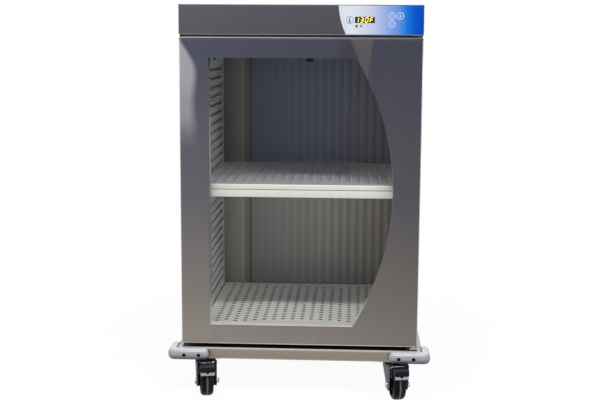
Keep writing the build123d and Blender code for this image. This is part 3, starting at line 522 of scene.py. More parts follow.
def bumperFinish(values):
    # soft grey vinyl, with painted light: paler towards the top where light falls, darker towards the bottom
    made = Finish("greyVinyl")
    scuff = made.noise(26.0, 5.0, 0.65)
    colour = made.ramp(made.along("Z").span(*values["heights"]), values["stops"])
    return made.surface({
        "Base Color": made.shade(colour, 1.0 + 0.06 * (scuff - 0.5)),
        "Roughness": 0.22 + 0.1 * (scuff - 0.5),
        "Normal": made.bump(made.noise(700.0), 0.04),
    })


treadLook = {  # place across the tread, 0 in the middle and 1 at its side
    # painted highlight on the tread
    "line": (0.0, 0.3, 0.5),  # middle, half width, strength
    "band": (0.5, 0.2, 0.03),
    "black": (11, 11, 12),
    "paintedTreadHighlight": (150, 151, 154),
}


def wheelFinish(values):
    # black tyre with a painted highlight line round the middle of its tread, and a soft painted highlight
    # band beside it
    made = Finish("blackRubber")
    place = made.node("ShaderNodeAttribute", {"attribute_name": "tread"}, None, "Fac")
    scuff = made.noise(60.0, 5.0, 0.65)
    line, band = ((1.0 - abs(place - values[name][0]) / values[name][1]).clamp() for name in ("line", "band"))
    paintedTreadHighlight = (line * line * values["line"][2] + band * values["band"][2]) * (0.5 + scuff)
    black = made.shade(values["black"], 0.8 + 0.4 * scuff)
    return made.surface({
        "Base Color": made.blend(paintedTreadHighlight.clamp(), black, values["paintedTreadHighlight"]),
        "Roughness": 0.26 + 0.14 * scuff,
        "Specular IOR Level": 0.07,
        "Normal": made.bump(scuff, 0.06),
    })


overlayLook = {
    "sides": (0.094, 0.305),
    "heights": (0.933, 1.0035),
    "stops": (
        (0.0, 202, 208, 214), (0.16, 204, 213, 218), (0.37, 187, 193, 214), (0.6, 125, 153, 208),
        (0.718, 82, 134, 204), (0.8, 20, 107, 199), (0.893, 0, 80, 186), (1.0, 0, 61, 170)),
    "swoosh": (150, 170, 220),
    "swooshHalf": 0.012,
}


def overlayFinish(values):
    # printed film: pale on the left, deep blue on the right, with a swoosh beside its curved edge
    made = Finish("printedFilm")
    (left, right), (low, high) = values["sides"], values["heights"]
    place = (made.along("X") - left) / (right - left)
    height = (made.along("Z") - low) / (high - low)
    edge = place - (0.075 - 0.16 * (height - 0.15) * (height - 0.15))
    swoosh = (1.0 - abs(edge) / values["swooshHalf"]).clamp() * (1.0 - (height * 1.6 - 0.2).clamp())
    colour = made.ramp(place.clamp(), values["stops"])
    return made.surface({
        "Base Color": made.blend(swoosh * 0.45, colour, values["swoosh"]),
        "Roughness": 0.28,
        "Specular IOR Level": 0.08,
        "Normal": made.bump(made.noise(400.0, 2.0, 0.5), 0.02),
    })


def glassFinish():
    # clear pane: light passes straight through, with a faint mirror on its face
    made = Finish("clearPane")
    clear = made.node("ShaderNodeBsdfTransparent", None, {"Color": (0.989, 0.989, 0.986, 1.0)})
    mirror = made.node("ShaderNodeBsdfGlossy", None, {"Color": (0.9, 0.93, 0.95, 1.0), "Roughness": 0.02})
    glance = made.node("ShaderNodeFresnel", None, {"IOR": 1.13})
    return made.cover(made.node("ShaderNodeMixShader", None, {0: glance, 1: clear, 2: mirror}))


# painted highlights along the door's top hem and bottom fold
doorFolds = {  # colours at the left and right ends, and of what lies below skinTop
    "doorHem": {"left": (180, 177, 174), "right": (112, 111, 113), "skinTop": 0.9232, "skin": (62, 62, 72)},
    "doorFoot": {"left": (236, 232, 226), "right": (226, 222, 216), "skinTop": 0.0, "skin": (62, 62, 72)},
}


def foldFinish(name, values):
    # painted highlight on a folded edge of the door, duller to the right
    made = Finish(name)
    grain = made.noise((3.0, 700.0, 700.0))
    colour = made.blend(made.along("X").span(-0.3, 0.3), values["left"], values["right"])
    colour = made.blend(made.along("Z").below(values["skinTop"], 0.0003), colour, values["skin"])
    return made.surface({
        "Base Color": made.shade(colour, 0.95 + 0.1 * grain),
        "Roughness": 0.55 + 0.1 * (grain - 0.5),
        "Specular IOR Level": 0.2,
    })


# painted shade on the hinge bracket
bracketLook = {
    "gapBack": -0.318,
    "blackUpTo": 0.2865,
    "holes": (0.56, 0.6),
    "zinc": (206, 202, 197),
    "brown": (84, 74, 64),
}


def bracketFinish(values):
    # zinc leaf with painted shade: dark slots painted on where holes would be, and its inner end painted
    # black where it stands in the shade of the gap
    made = Finish("bracketZinc")
    grain = made.noise(150.0)
    inGap = made.along("Y") < values["gapBack"]
    paintedGapShade = made.along("X").below(values["blackUpTo"], 0.001) * inGap
    paintedHoleShade = grain.span(*values["holes"]) * inGap
    colour = made.blend(paintedHoleShade, made.shade(values["zinc"], 0.9 + 0.2 * grain), values["brown"])
    return made.surface({
        "Base Color": made.blend(paintedGapShade, colour, (6, 6, 6)),
        "Metallic": 0.35 - 0.35 * paintedGapShade,
        "Roughness": 0.4 + 0.1 * (grain - 0.5),
        "Normal": made.bump(grain, 0.08),
    })


for material in (
    trayTopFinish(trayTopLook),
    backWallFinish(backWallLook),
    bumperFinish(bumperLook),
    wheelFinish(treadLook),
    overlayFinish(overlayLook),
    glassFinish(),
    bracketFinish(bracketLook),
):
    finishes[material.name] = material
finishes.update({name: foldFinish(name, values) for name, values in doorFolds.items()})

print("plain finishes")
mouldings = {  # colour, roughness, relief, speckle, gloss
    "blackMoulding": ((18, 18, 20), 0.35, 0.08, 0.3, 0.10),
    # bluish painted sheen on the pedal pad
    "glossyMoulding": ((46, 50, 66), 0.3, 0.08, 0.9, 0.10),
    # dark gasket rubber, also used as painted shade in recesses and slots
    "darkGasket": ((40, 40, 42), 0.7, 0.15, 0.15, 0.5),
    "blackScrew": ((6, 6, 7), 0.5, 0.05, 0.2, 0.08),
}
materials = {  # colour, roughness, metallic, relief, grain, variation
    "trayFold": ((138, 129, 118), 0.6, 0.0, 0.05, (3.0, 700.0, 700.0), 0.12),
    "displayWindow": ((8, 8, 9), 0.12, 0.0, 0.0, 500.0, 0.12),
    "mineralWool": ((222, 208, 150), 0.95, 0.0, 0.9, 160.0, 0.5),
    "fibreBoard": ((225, 220, 205), 0.95, 0.0, 0.8, 200.0, 0.3),
    "greenLaminate": ((30, 92, 52), 0.45, 0.0, 0.1, 500.0, 0.12),
    "rotorAluminium": ((185, 188, 190), 0.42, 1.0, 0.05, (5.0, 5.0, 600.0), 0.12),
    "blackEnamel": ((38, 38, 42), 0.35, 0.0, 0.08, 500.0, 0.12),
    "blackPlastic": ((22, 22, 24), 0.45, 0.0, 0.12, 500.0, 0.12),
    "oxidisedTube": ((96, 84, 76), 0.5, 0.8, 0.1, 80.0, 0.4),
    "paleInk": ((196, 207, 240), 0.5, 0.0, 0.0, 500.0, 0.12),
    "darkInk": ((22, 22, 28), 0.35, 0.0, 0.0, 500.0, 0.12),
    "blueInk": ((72, 86, 146), 0.35, 0.0, 0.0, 500.0, 0.12),
    "greyInk": ((62, 64, 90), 0.35, 0.0, 0.0, 500.0, 0.12),
}
digitGlow = {"colour": (248, 216, 76), "strength": 0.9}


def mouldingFinish(name, colour, roughness, relief, speckle, gloss):
    made = Finish(name)
    scuff = made.noise(26.0, 5.0, 0.65)
    return made.surface({
        "Base Color": made.shade(colour, 1.0 + speckle * (scuff - 0.5)),
        "Roughness": roughness + 0.15 * (scuff - 0.5),
        "Specular IOR Level": gloss,
        "Normal": made.bump(made.noise(900.0), relief),
    })


def plainFinish(name, colour, roughness, metallic, relief, grain, variation):
    made = Finish(name)
    texture = made.noise(grain)
    return made.surface({
        "Base Color": made.shade(colour, 1.0 + variation * (texture - 0.5)),
        "Roughness": roughness + 0.1 * (texture - 0.5),
        "Metallic": metallic,
        "Normal": made.bump(texture, relief),
    })


def digitFinish(values):
    made = Finish("litSegments")
    return made.surface({
        "Base Color": paint(*values["colour"]),
        "Roughness": 0.4,
        "Emission Color": made.shade(values["colour"], 0.92 + 0.16 * made.noise(900.0, 1.0, 0.5)),
        "Emission Strength": values["strength"],
    })


finishes.update({name: mouldingFinish(name, *values) for name, values in mouldings.items()})
finishes.update({name: plainFinish(name, *values) for name, values in materials.items()})
finishes["litSegments"] = digitFinish(digitGlow)

print("CAD nodes get their finishes")
nodeFinishes = {
    "brushedCasing": "door_skin control_fascia front_frame",
    "brushedSides": "left_side_panel right_side_panel top_cover shell_floor rear_cover",
    "linerSheet": "chamber_ceiling blower_housing",
    "innerPan": "door_inner_pan",
    "shadedLiner": "chamber_floor",
    "chamberWall": "chamber_left_wall chamber_right_wall",
    "rackSheet": "left_rack right_rack",
    "oxidisedTube": "heater_element",
    "panSheet": "floor_pan",
    "deckSheet": "shelf_deck",
    "lipSheet": "shelf_frame",
    "backWallSheet": "chamber_back_wall",
    "brushedBase": "base_tray caster_rails",
    "bracketZinc": "lower_hinge",
    "zincPlate": "caster_plates front_left_fork front_right_fork rear_left_fork rear_right_fork",
    "hingeSteel": "upper_hinge door_hinge_blocks",
    "greyVinyl": "front_left_bumper front_right_bumper rear_left_bumper rear_right_bumper",
    "blackRubber": "front_left_wheel front_right_wheel rear_left_wheel rear_right_wheel",
    "blackMoulding": "front_left_pedal front_right_pedal rear_left_pedal rear_right_pedal",
    "clearPane": "door_outer_glass door_inner_glass",
    "spacerStrip": "glazing_spacer",
    "darkGasket": "door_gasket",
    "mineralWool": "insulation_batts",
    "fibreBoard": "door_foam",
    "printedFilm": "control_overlay key_up key_set key_down",
    "displayWindow": "display_module",
    "greenLaminate": "control_board",
    "rotorAluminium": "blower_wheel",
    "blackEnamel": "blower_motor",
    "blackScrew": "temperature_probe",
    "blackPlastic": "power_inlet",
}
for finishName, nodeNames in nodeFinishes.items():
    for nodeName in nodeNames.split():
        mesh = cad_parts[nodeName].data
        mesh.materials.clear()
        mesh.materials.append(finishes[finishName])


tiny = 1e-6  # far below any size on the object
hair = 0.0003  # how far a face may lie from the place it is picked by


def outward(build):
    bmesh.ops.recalc_face_normals(build, faces=build.faces[:])
    return build


def bake(rough, name):
    # the evaluated object as a plain mesh
    graph = bpy.context.evaluated_depsgraph_get()
    mesh = bpy.data.meshes.new_from_object(
        rough.evaluated_get(graph), preserve_all_data_layers=True, depsgraph=graph)
    mesh.name = name
    bpy.data.objects.remove(rough)
    return newObject(name, mesh)


def shape(name, build, thickness=0.0, bevel=0.0):
    # a bmesh becomes a plain mesh, with a wall and soft edges where asked
    mesh = bpy.data.meshes.new(name)
    build.to_mesh(mesh)
    build.free()
    rough = newObject(name + "Rough", mesh)
    if thickness:
        wall = rough.modifiers.new("wall", "SOLIDIFY")
        wall.thickness = thickness
        wall.offset = -1.0
        wall.use_even_offset = True
    if bevel:
        edge = rough.modifiers.new("edge", "BEVEL")
        edge.width = bevel
        edge.segments = 2
        edge.limit_method = "ANGLE"
        edge.angle_limit = radians(40)
        edge.use_clamp_overlap = True
    return bake(rough, name)


def dress(made, body, finish, replaced=(), smooth=35.0):
    mesh = made.data
    mesh.materials.clear()
    mesh.materials.append(finishes[finish])
    mesh.shade_smooth()
    mesh.set_sharp_from_angle(angle=radians(smooth))
    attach(made, body)
    if replaced:
        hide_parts(*replaced)
    return made


def settle(name, build, body, finish, replaced=(), thickness=0.0, bevel=0.0, smooth=35.0):
    # a bmesh becomes one finished piece that rides on a body
    return dress(shape(name, build, thickness, bevel), body, finish, replaced, smooth)


def recoat(made, finish, chosen):
    # gives the chosen faces of a piece another finish
    mesh = made.data
    mesh.materials.append(finishes[finish])
    for face in mesh.polygons:
        if chosen(face):
            face.material_index = len(mesh.materials) - 1


def arc(x, y, radius, start, turn, steps):
    angles = [start + turn * step / steps for step in range(steps + 1)]
    return [(x + radius * cos(angle), y + radius * sin(angle)) for angle in angles]


def circle(x, y, radius, steps=32):
    return arc(x, y, radius, 0.0, 2 * pi, steps)[:-1]


def rectangle(x, y, width, height):
    return [(x - width / 2, y - height / 2), (x + width / 2, y - height / 2),
            (x + width / 2, y + height / 2), (x - width / 2, y + height / 2)]


def roundedOutline(points, radius, steps=4):
    # polygon with its corners rounded; a radius per corner or one for all
    radii = radius if isinstance(radius, (list, tuple)) else [radius] * len(points)
    made = []
    for index, (point, reach) in enumerate(zip(points, radii)):
        here = Vector(point)
        if reach <= 0:
            made.append(tuple(here))
            continue
        before = (Vector(points[index - 1]) - here).normalized()
        after = (Vector(points[(index + 1) % len(points)]) - here).normalized()
        half = before.angle(after) / 2
        cut = reach / max(0.2, abs(sin(half) / cos(half)))
        centre = here + (before + after).normalized() * (reach / sin(half))
        first = here + before * cut - centre
        turn = first.angle_signed(here + after * cut - centre)
        for step in range(steps + 1):
            angle = -turn * step / steps
            made.append((
                centre.x + first.x * cos(angle) - first.y * sin(angle),
                centre.y + first.x * sin(angle) + first.y * cos(angle),
            ))
    return made


def prism(build, outline, place, low, high):
    # extrudes a closed outline; place turns (u, v, depth) into a point
    near = [build.verts.new(place(u, v, low)) for u, v in outline]
    far = [build.verts.new(place(u, v, high)) for u, v in outline]
    build.faces.new(near)
    build.faces.new(list(reversed(far)))
    for index in range(len(outline)):
        after = (index + 1) % len(outline)
        build.faces.new((near[after], near[index], far[index], far[after]))


sides = (-1, 1)


def alongX(u, v, depth):
    return Vector((depth, u, v))


def alongY(u, v, depth):
    return Vector((u, depth, v))


def turned(build, profile, place, steps=40, closed=False):
    # turns a profile of (along, radius) round an axis; place turns (along, p, q) into a point
    rings = []
    for along, radius in profile:
        ring = [(0, 0)] if radius < tiny else circle(0, 0, radius, steps)
        rings.append([build.verts.new(place(along, p, q)) for p, q in ring])
    for one, two in list(zip(rings, rings[1:])) + ([(rings[-1], rings[0])] if closed else []):
        for step in range(steps):
            after = (step + 1) % steps
            spots = ((one, step), (one, after), (two, after), (two, step))
            around = list(dict.fromkeys(ring[index % len(ring)] for ring, index in spots))
            if len(around) > 2:
                build.faces.new(around)


def metres(numbers):
    # lists of millimetres as lists of metres
    return [metres(item) if isinstance(item, (list, tuple)) else item / 1000 for item in numbers]


print("door and fascia sheets")
doorSizes = {
    "left": -0.305,
    "right": 0.305,
    "bottom": 0.1375,
    "top": 0.9225,
    "front": -0.330,
    "back": -0.2932,
    "lipBack": -0.312,
    "lipEnd": -0.2832,
    "turnIn": (0.007, 0.002),  # width of the left side's lip, cut short at its ends
    "fold": 0.0029,
    "sheet": 0.0012,
    "windowLeft": -0.231,
    "windowReach": 0.34275,
    "windowMiddle": 0.53125,
    "arcRadius": 0.64558,
    "arcCentre": -0.40908,
    "rimBox": (0.28, 0.15, 0.90, 0.0015),  # half width, bottom, top and depth of what holds the window
}


def windowOutline(sizes):
    reach, radius, middle = sizes["windowReach"], sizes["arcRadius"], sizes["windowMiddle"]
    angle = atan2(reach, sqrt(radius**2 - reach**2))
    left = [(sizes["windowLeft"], middle - reach), (sizes["windowLeft"], middle + reach)]
    return left + arc(sizes["arcCentre"], middle, radius, angle, -2 * angle, 40)


def foldedFront(sizes, holes):
    # front sheet with folded sides, open at the back
    build = bmesh.new()
    left, right, low, high = sizes["left"], sizes["right"], sizes["bottom"], sizes["top"]
    front, back = sizes["front"], sizes["back"]
    loops, edges = [], []
    for outline in [[(left, low), (right, low), (right, high), (left, high)]] + holes:
        loop = [build.verts.new((x, front, z)) for x, z in outline]
        edges += [build.edges.new(pair) for pair in zip(loop, loop[1:] + loop[:1])]
        loops.append(loop)
    border = loops[0]
    bmesh.ops.triangle_fill(build, use_beauty=True, use_dissolve=False, edges=edges)
    lipBack, lipEnd = sizes.get("lipBack", back), sizes.get("lipEnd", left)
    ends = []
    for z in (low, high):
        end = [build.verts.new((right, back, z))]
        if lipBack != back:
            end += [build.verts.new((lipEnd, back, z)), build.verts.new((lipEnd, lipBack, z))]
        ends.append(end + [build.verts.new((left, lipBack, z))])
    lower, upper = ends
    build.faces.new([border[0], border[1]] + lower)
    build.faces.new([border[3], border[2]] + upper)
    build.faces.new((border[1], border[2], upper[0], lower[0]))
    build.faces.new((border[0], border[3], upper[-1], lower[-1]))
    if lipBack != back:
        reach, inset = sizes["turnIn"]
        turnIn = [build.verts.new((left + reach, lipBack, z)) for z in (low + inset, high - inset)]
        build.faces.new((lower[-1], upper[-1], turnIn[1], turnIn[0]))
    folds = [edge for edge in build.edges
             if len(edge.link_faces) == 2 and edge.calc_face_angle() > radians(57)]
    sharp = [edge for edge in folds if min(vert.co.y for vert in edge.verts) < front + tiny]
    bmesh.ops.bevel(build, geom=sharp, offset=sizes["fold"], segments=4, profile=0.5, affect="EDGES")
    outward(build)
    facing = sum(face.normal.y * face.calc_area() for face in build.faces
                 if abs(face.calc_center_median().y - front) < tiny)
    if facing > 0:
        bmesh.ops.reverse_faces(build, faces=build.faces[:])
    return build


def slanted(share):
    # true for a face on a rounded fold, from the share of its normal along one axis
    return 0.2 < abs(share) < 0.97


def onFold(face, sizes):
    # on a fold of the front sheet, but not at its top
    return slanted(face.normal.y) and face.center.z < sizes["top"] - sizes["fold"]


def onFootFold(face, sizes):
    return slanted(face.normal.y) and face.center.z < sizes["bottom"] + sizes["fold"]


def onWindowRim(face, sizes):
    halfX, low, high, depth = sizes["rimBox"]
    return (face.center.y < sizes["front"] + depth and abs(face.center.x) < halfX
            and low < face.center.z < high)


doorFront = foldedFront(doorSizes, [windowOutline(doorSizes)])
doorSkin = settle("doorSkin", doorFront, "door", "brushedCasing", ("door_skin",),
                  thickness=doorSizes["sheet"])
# painted highlight on the door's folds
recoat(doorSkin, "foldedEdge", lambda face: onFold(face, doorSizes))
recoat(doorSkin, "doorFoot", lambda face: onFootFold(face, doorSizes))
# painted shade on the window's cut edges, and a painted highlight on its bottom edge
recoat(doorSkin, "darkGasket", lambda face: onWindowRim(face, doorSizes) and abs(face.normal.y) < 0.2)
recoat(doorSkin, "paleSheet", lambda face: onWindowRim(face, doorSizes) and face.normal.z > 0.5)

fasciaSizes = {
    "left": -0.305,
    "right": 0.305,
    "bottom": 0.931,
    "top": 1.0055,
    "front": -0.330,
    "back": -0.2862,
    "fold": 0.0024,
    "sheet": 0.0012,
    "keyHole": 0.0095,
    "display": (0.159, 0.9685, 0.049, 0.0155),  # middle, width and height
}
keyPlaces = {"key_up": (0.226, 0.9785), "key_set": (0.246, 0.9785), "key_down": (0.226, 0.9585)}
hemSizes = {
    "halfX": 0.3035,
    "front": -0.330,
    "back": -0.3275,
    "low": 0.9215,
    "high": 0.9253,
    "rounds": (0.0, 0.0, 0.0008, 0.0012),
}
flapSizes = {
    "left": -0.3048,
    "sheet": 0.0012,
    "front": -0.312,
    "back": -0.2866,
    "low": 0.9236,
    "high": 0.9312,
    "cut": 0.002,
}


def hemBuild(sizes):
    build = bmesh.new()
    front, back, low, high = (sizes[name] for name in ("front", "back", "low", "high"))
    outline = roundedOutline([(front, low), (back, low), (back, high), (front, high)], sizes["rounds"], 3)
    prism(build, outline, alongX, -sizes["halfX"], sizes["halfX"])
    return outward(build)


def flapBuild(sizes):
    build = bmesh.new()
    front, back, low, high, cut = (sizes[name] for name in ("front", "back", "low", "high", "cut"))
    outline = [(front, high), (front, low + cut), (front + cut, low), (back, low), (back, high)]
    prism(build, outline, alongX, sizes["left"], sizes["left"] + sizes["sheet"])
    return outward(build)


# painted highlight along the door's top edge
settle("doorHem", hemBuild(hemSizes), "door", "doorHem")
fasciaHoles = [circle(x, z, fasciaSizes["keyHole"]) for x, z in keyPlaces.values()]
fasciaHoles.append(rectangle(*fasciaSizes["display"]))
fasciaFront = foldedFront(fasciaSizes, fasciaHoles)
fasciaSheet = settle("fasciaSheet", fasciaFront, "cabinet", "brushedCasing", ("control_fascia",),
                     thickness=fasciaSizes["sheet"])
# painted highlight on the fascia's bottom fold
recoat(fasciaSheet, "foldedEdge", lambda face: onFootFold(face, fasciaSizes))
# dark sheet standing as painted shade in the gap at the fascia's left end
settle("fasciaSideFlap", flapBuild(flapSizes), "cabinet", "hingeSteel")

print("base tray and bumpers")
traySizes = {
    "halfX": 0.318,
    "front": -0.343,
    "back": 0.343,
    "low": 0.1015,
    "high": 0.1275,
    "fold": 0.003,
    "sheet": 0.002,
}


def openTray(sizes):
    # sheet with a skirt folded down all round
    build = bmesh.new()
    bmesh.ops.create_cube(build, size=1.0)
    for vert in build.verts:
        vert.co = Vector((
            vert.co.x * 2 * sizes["halfX"],
            sizes["front"] if vert.co.y < 0 else sizes["back"],
            sizes["low"] if vert.co.z < 0 else sizes["high"],
        ))
    under = [face for face in build.faces if face.normal.z < -0.9]
    bmesh.ops.delete(build, geom=under, context="FACES_ONLY")
    folds = [edge for edge in build.edges if len(edge.link_faces) == 2]
    bmesh.ops.bevel(build, geom=folds, offset=sizes["fold"], segments=4, profile=0.5, affect="EDGES")
    return outward(build)


baseTray = settle("baseTray", openTray(traySizes), "cabinet", "brushedBase", ("base_tray",),
                  thickness=traySizes["sheet"])
recoat(baseTray, "trayTop", lambda face: face.normal.z > 0.9
       and face.center.z > traySizes["high"] - traySizes["fold"])
recoat(baseTray, "trayFold", lambda face: 0.1 < face.normal.z < 0.9
       and face.center.z > traySizes["high"] - 1.2 * traySizes["fold"])

bumperSizes = {
    "inner": (0.3182, 0.3432),
    "thickness": 0.020,
    "arms": (0.107, 0.086),  # along X and along Y
    "low": 0.1005,
    "high": 0.1285,
    "roundOver": (0.0094, 0.0125),  # inwards and upwards
    "corner": 0.019,
    "screws": ((0.0432, 0.0812), (0.036, 0.066)),  # in from the outer corner, on the end and the side
    "screwZ": 0.1137,
    "screwRadius": 0.0046,
    "screwDepth": 0.004,
}
corners = {  # side, end and how far the caster is turned
    "front_left": (-1, -1, 12.0),
    "front_right": (1, -1, 12.0),
    "rear_left": (-1, 1, 192.0),
    "rear_right": (1, 1, 192.0),
}


def bumperOutline(sizes, inset, across, along):
    innerX, innerY = sizes["inner"]
    half, corner = sizes["thickness"] / 2, sizes["corner"]
    outerX, outerY = innerX + 2 * half, innerY + 2 * half
    endX, endY = outerX - sizes["arms"][0] + half, outerY - sizes["arms"][1] + half
    reach = half - inset / 2  # the inner side stays flat against the tray
    points = arc(endX + inset / 2, innerY + reach, reach, -pi / 2, -pi, 10)
    points += arc(outerX - corner, outerY - corner, corner - inset, pi / 2, -pi / 2, 10)
    points += arc(innerX + reach, endY + inset / 2, reach, 0.0, -pi, 10)
    return [(across * x, along * y) for x, y in points + [(innerX, innerY)]]


def bumperBody(sizes, across, along):
    build = bmesh.new()
    inset, rise = sizes["roundOver"]
    angles = [pi / 2 * step / 6 for step in reversed(range(7))]
    layers = [(sizes["low"] + rise * (1 - sin(angle)), inset * (1 - cos(angle))) for angle in angles]
    layers += [(sizes["low"] + sizes["high"] - z, inward) for z, inward in reversed(layers)]
    rings = [[build.verts.new((x, y, z)) for x, y in bumperOutline(sizes, inward, across, along)]
             for z, inward in layers]
    for one, two in zip(rings, rings[1:]):
        for index in range(len(one)):
            after = (index + 1) % len(one)
            build.faces.new((one[index], one[after], two[after], two[index]))
    build.faces.new(rings[0])
    build.faces.new(rings[-1])
    return outward(build)


def bumperScrewPlaces(sizes, across, along):
    # (point on the outer face, direction it faces)
    outerX, outerY = (inner + sizes["thickness"] for inner in sizes["inner"])
    onEnd, onSide = sizes["screws"]
    places = [(outerX - reach, outerY, 0, 1) for reach in onEnd]
    places += [(outerX, outerY - reach, 1, 0) for reach in onSide]
    return [(Vector((across * x, along * y, sizes["screwZ"])), Vector((across * toX, along * toY, 0)))
            for x, y, toX, toY in places]


def facingPlace(point, facing):
    # place function with its first axis along facing
    side = facing.cross(Vector((0, 0, 1))).normalized()
    other = facing.cross(side)
    return lambda along, p, q: point + facing * along + side * p + other * q


def makeBumper(name, sizes, across, along):
    solid = shape(name + "BumperRaw", bumperBody(sizes, across, along))
    cutter = bmesh.new()
    depth, radius = sizes["screwDepth"], sizes["screwRadius"]
    profile = ((-depth, 0.0), (-depth, radius), (-0.001, radius), (0.002, radius * 1.5), (0.002, 0.0))
    for point, facing in bumperScrewPlaces(sizes, across, along):
        turned(cutter, profile, facingPlace(point, facing), 20)
    tool = shape("screwCutter", outward(cutter))
    cut = solid.modifiers.new("holes", "BOOLEAN")
    cut.object = tool
    cut.solver = "EXACT"
    bpy.context.view_layer.update()
    made = bake(solid, name + "Bumper")
    bpy.data.objects.remove(tool)
    dress(made, "cabinet", "greyVinyl", (name + "_bumper",), 40.0)


for name, (across, along, _) in corners.items():
    makeBumper(name, bumperSizes, across, along)

print("screws from one Geometry Nodes recipe")


def newRecipe(name, sizes):
    # an empty tree whose inputs are a geometry, the named sizes and a material
    group = bpy.data.node_groups.new(name, "GeometryNodeTree")
    group.interface.new_socket("Geometry", in_out="INPUT", socket_type="NodeSocketGeometry")
    for label, value in sizes.items():
        kind = "NodeSocketInt" if isinstance(value, int) else "NodeSocketFloat"
        group.interface.new_socket(label, in_out="INPUT", socket_type=kind).default_value = value
    group.interface.new_socket("Material", in_out="INPUT", socket_type="NodeSocketMaterial")
    group.interface.new_socket("Geometry", in_out="OUTPUT", socket_type="NodeSocketGeometry")
    start = group.nodes.new("NodeGroupInput")
    maker = Maker(group)
    return maker, {socket.name: Value(maker, socket) for socket in start.outputs if socket.name}


def closeRecipe(maker, geometry, material):
    real = maker.node("GeometryNodeRealizeInstances", None, {0: geometry})
    coated = maker.node("GeometryNodeSetMaterial", None, {"Geometry": real, "Material": material})
    maker.node("NodeGroupOutput", None, {0: coated})
    return maker.tree


def runRecipe(group, rough, values, name):
    modifier = rough.modifiers.new("recipe", "NODES")
    modifier.node_group = group
    for item in group.interface.items_tree:
        if item.in_out == "INPUT" and item.name != "Geometry":
            modifier[item.identifier] = values.get(item.name, item.default_value)
    return bake(rough, name)


def screwRecipe(sizes):
    # one round head with a hexagon socket on every point, turned to face outwards
    maker, given = newRecipe("screwHeads", sizes)
    radius, tall, socket = given["Head Radius"], given["Head Height"], given["Socket Radius"]

    def lifted(geometry, height):
        lift = maker.node("ShaderNodeCombineXYZ", None, {2: height})
        return maker.node("GeometryNodeTransform", None, {"Geometry": geometry, "Translation": lift})

    def ring(low, high, depth):
        sizes = {"Radius Top": high, "Radius Bottom": low, "Depth": depth}
        counts = {"Vertices": 24, "Side Segments": 1, "Fill Segments": 1}
        return maker.node("GeometryNodeMeshCone", None, dict(counts, **sizes))

    skirt = ring(radius, radius * 0.94, tall * 0.6)
    crown = lifted(ring(radius * 0.94, radius * 0.6, tall * 0.4), tall * 0.6)
    head = maker.node("GeometryNodeJoinGeometry")
    for part in (skirt, crown):
        maker.tree.links.new(part.socket, head.socket.node.inputs[0])
    welded = maker.node("GeometryNodeMergeByDistance", None, {"Geometry": head, "Distance": 0.00002})
    hexagon = {"Vertices": 6, "Radius": socket, "Depth": tall * 1.2}
    drive = maker.node("GeometryNodeMeshCylinder", None, hexagon)
    tools = {0: welded, 1: lifted(drive, tall * 1.15)}
    cut = maker.node("GeometryNodeMeshBoolean", {"operation": "DIFFERENCE"}, tools)
    facing = maker.node("GeometryNodeInputNamedAttribute", {"data_type": "FLOAT_VECTOR"}, {"Name": "facing"})
    turn = maker.node("FunctionNodeAlignRotationToVector", {"axis": "Z"}, {"Vector": facing})
    placed = maker.node("GeometryNodeInstanceOnPoints", None, {
        "Points": given["Geometry"], "Instance": cut, "Rotation": turn})
    return closeRecipe(maker, placed, given["Material"])


screws = screwRecipe({"Head Radius": 0.0042, "Head Height": 0.0022, "Socket Radius": 0.0016})


def placeScrews(name, places, finish, values):
    mesh = bpy.data.meshes.new(name + "Points")
    mesh.from_pydata([tuple(point) for point, _ in places], [], [])
    facing = mesh.attributes.new("facing", "FLOAT_VECTOR", "POINT")
    for item, (_, direction) in zip(facing.data, places):
        item.vector = direction
    made = runRecipe(screws, newObject(name + "Points", mesh), dict(values, Material=finishes[finish]), name)
    dress(made, "cabinet", finish, (), 30.0)


bumperScrews = []
for across, along, _ in corners.values():
    for point, facing in bumperScrewPlaces(bumperSizes, across, along):
        bumperScrews.append((point - facing * bumperSizes["screwDepth"] * 0.95, facing))
placeScrews("bumperScrews", bumperScrews, "blackScrew",
            {"Head Radius": 0.0044, "Head Height": 0.0024, "Socket Radius": 0.0017})

coverScrews = {"halfX": 0.293, "low": 0.1455, "high": 0.9905, "rows": 6, "columns": 4, "face": 0.330}


def coverScrewPlaces(sizes):
    # two columns down the sides, then the rows between them at the bottom and the top
    half, low, high = sizes["halfX"], sizes["low"], sizes["high"]
    levels = [low + (high - low) * row / (sizes["rows"] - 1) for row in range(sizes["rows"])]
    places = [(x, z) for z in levels for x in (-half, half)]
    between = [half * (2 * column / sizes["columns"] - 1) for column in range(1, sizes["columns"])]
    places += [(x, z) for x in between for z in (low, high)]
    return [(Vector((x, sizes["face"], z)), Vector((0, 1, 0))) for x, z in places]


placeScrews("rearCoverScrews", coverScrewPlaces(coverScrews), "zincPlate", {})

print("slotted pan and shelf")
slotSizes = {
    "Pitch": 0.0254,
    "Columns Each Side": 9,
    "Rows": 22,
    "Slot Width": 0.0112,
    "Slot Length": 0.0105,
    "First Row": -0.243,
    "Last Row": 0.229,
    "Front Bow": 0.056,
    "Rear Bow": 0.043,
    "Top": 0.170,
}
panSizes = {
    "halfX": 0.261,
    "front": -0.264,
    "back": 0.247,
    "low": 0.1427,
    "high": 0.170,
    "fold": 0.0022,
    "sheet": 0.0012,
    "finish": "panSheet",
    "lip": "panSheet",
    # painted shade in the pan's slots
    "slotWalls": "darkGasket",
    "litTo": None,
}
deckSizes = {
    "halfX": 0.262,
    "front": -0.278,
    "back": 0.244,
    "low": 0.53645,
    "high": 0.54945,
    "fold": 0.0028,
    "sheet": 0.0012,
    "finish": "deckSheet",
    "lip": "lipSheet",
    "slotWalls": "shadedLiner",
    # painted light on the slots' right walls in front of the lamp's shadow edge; behind it they take painted
    # shade
    "litTo": -0.055,  # up to here the slots' right walls are pale
}


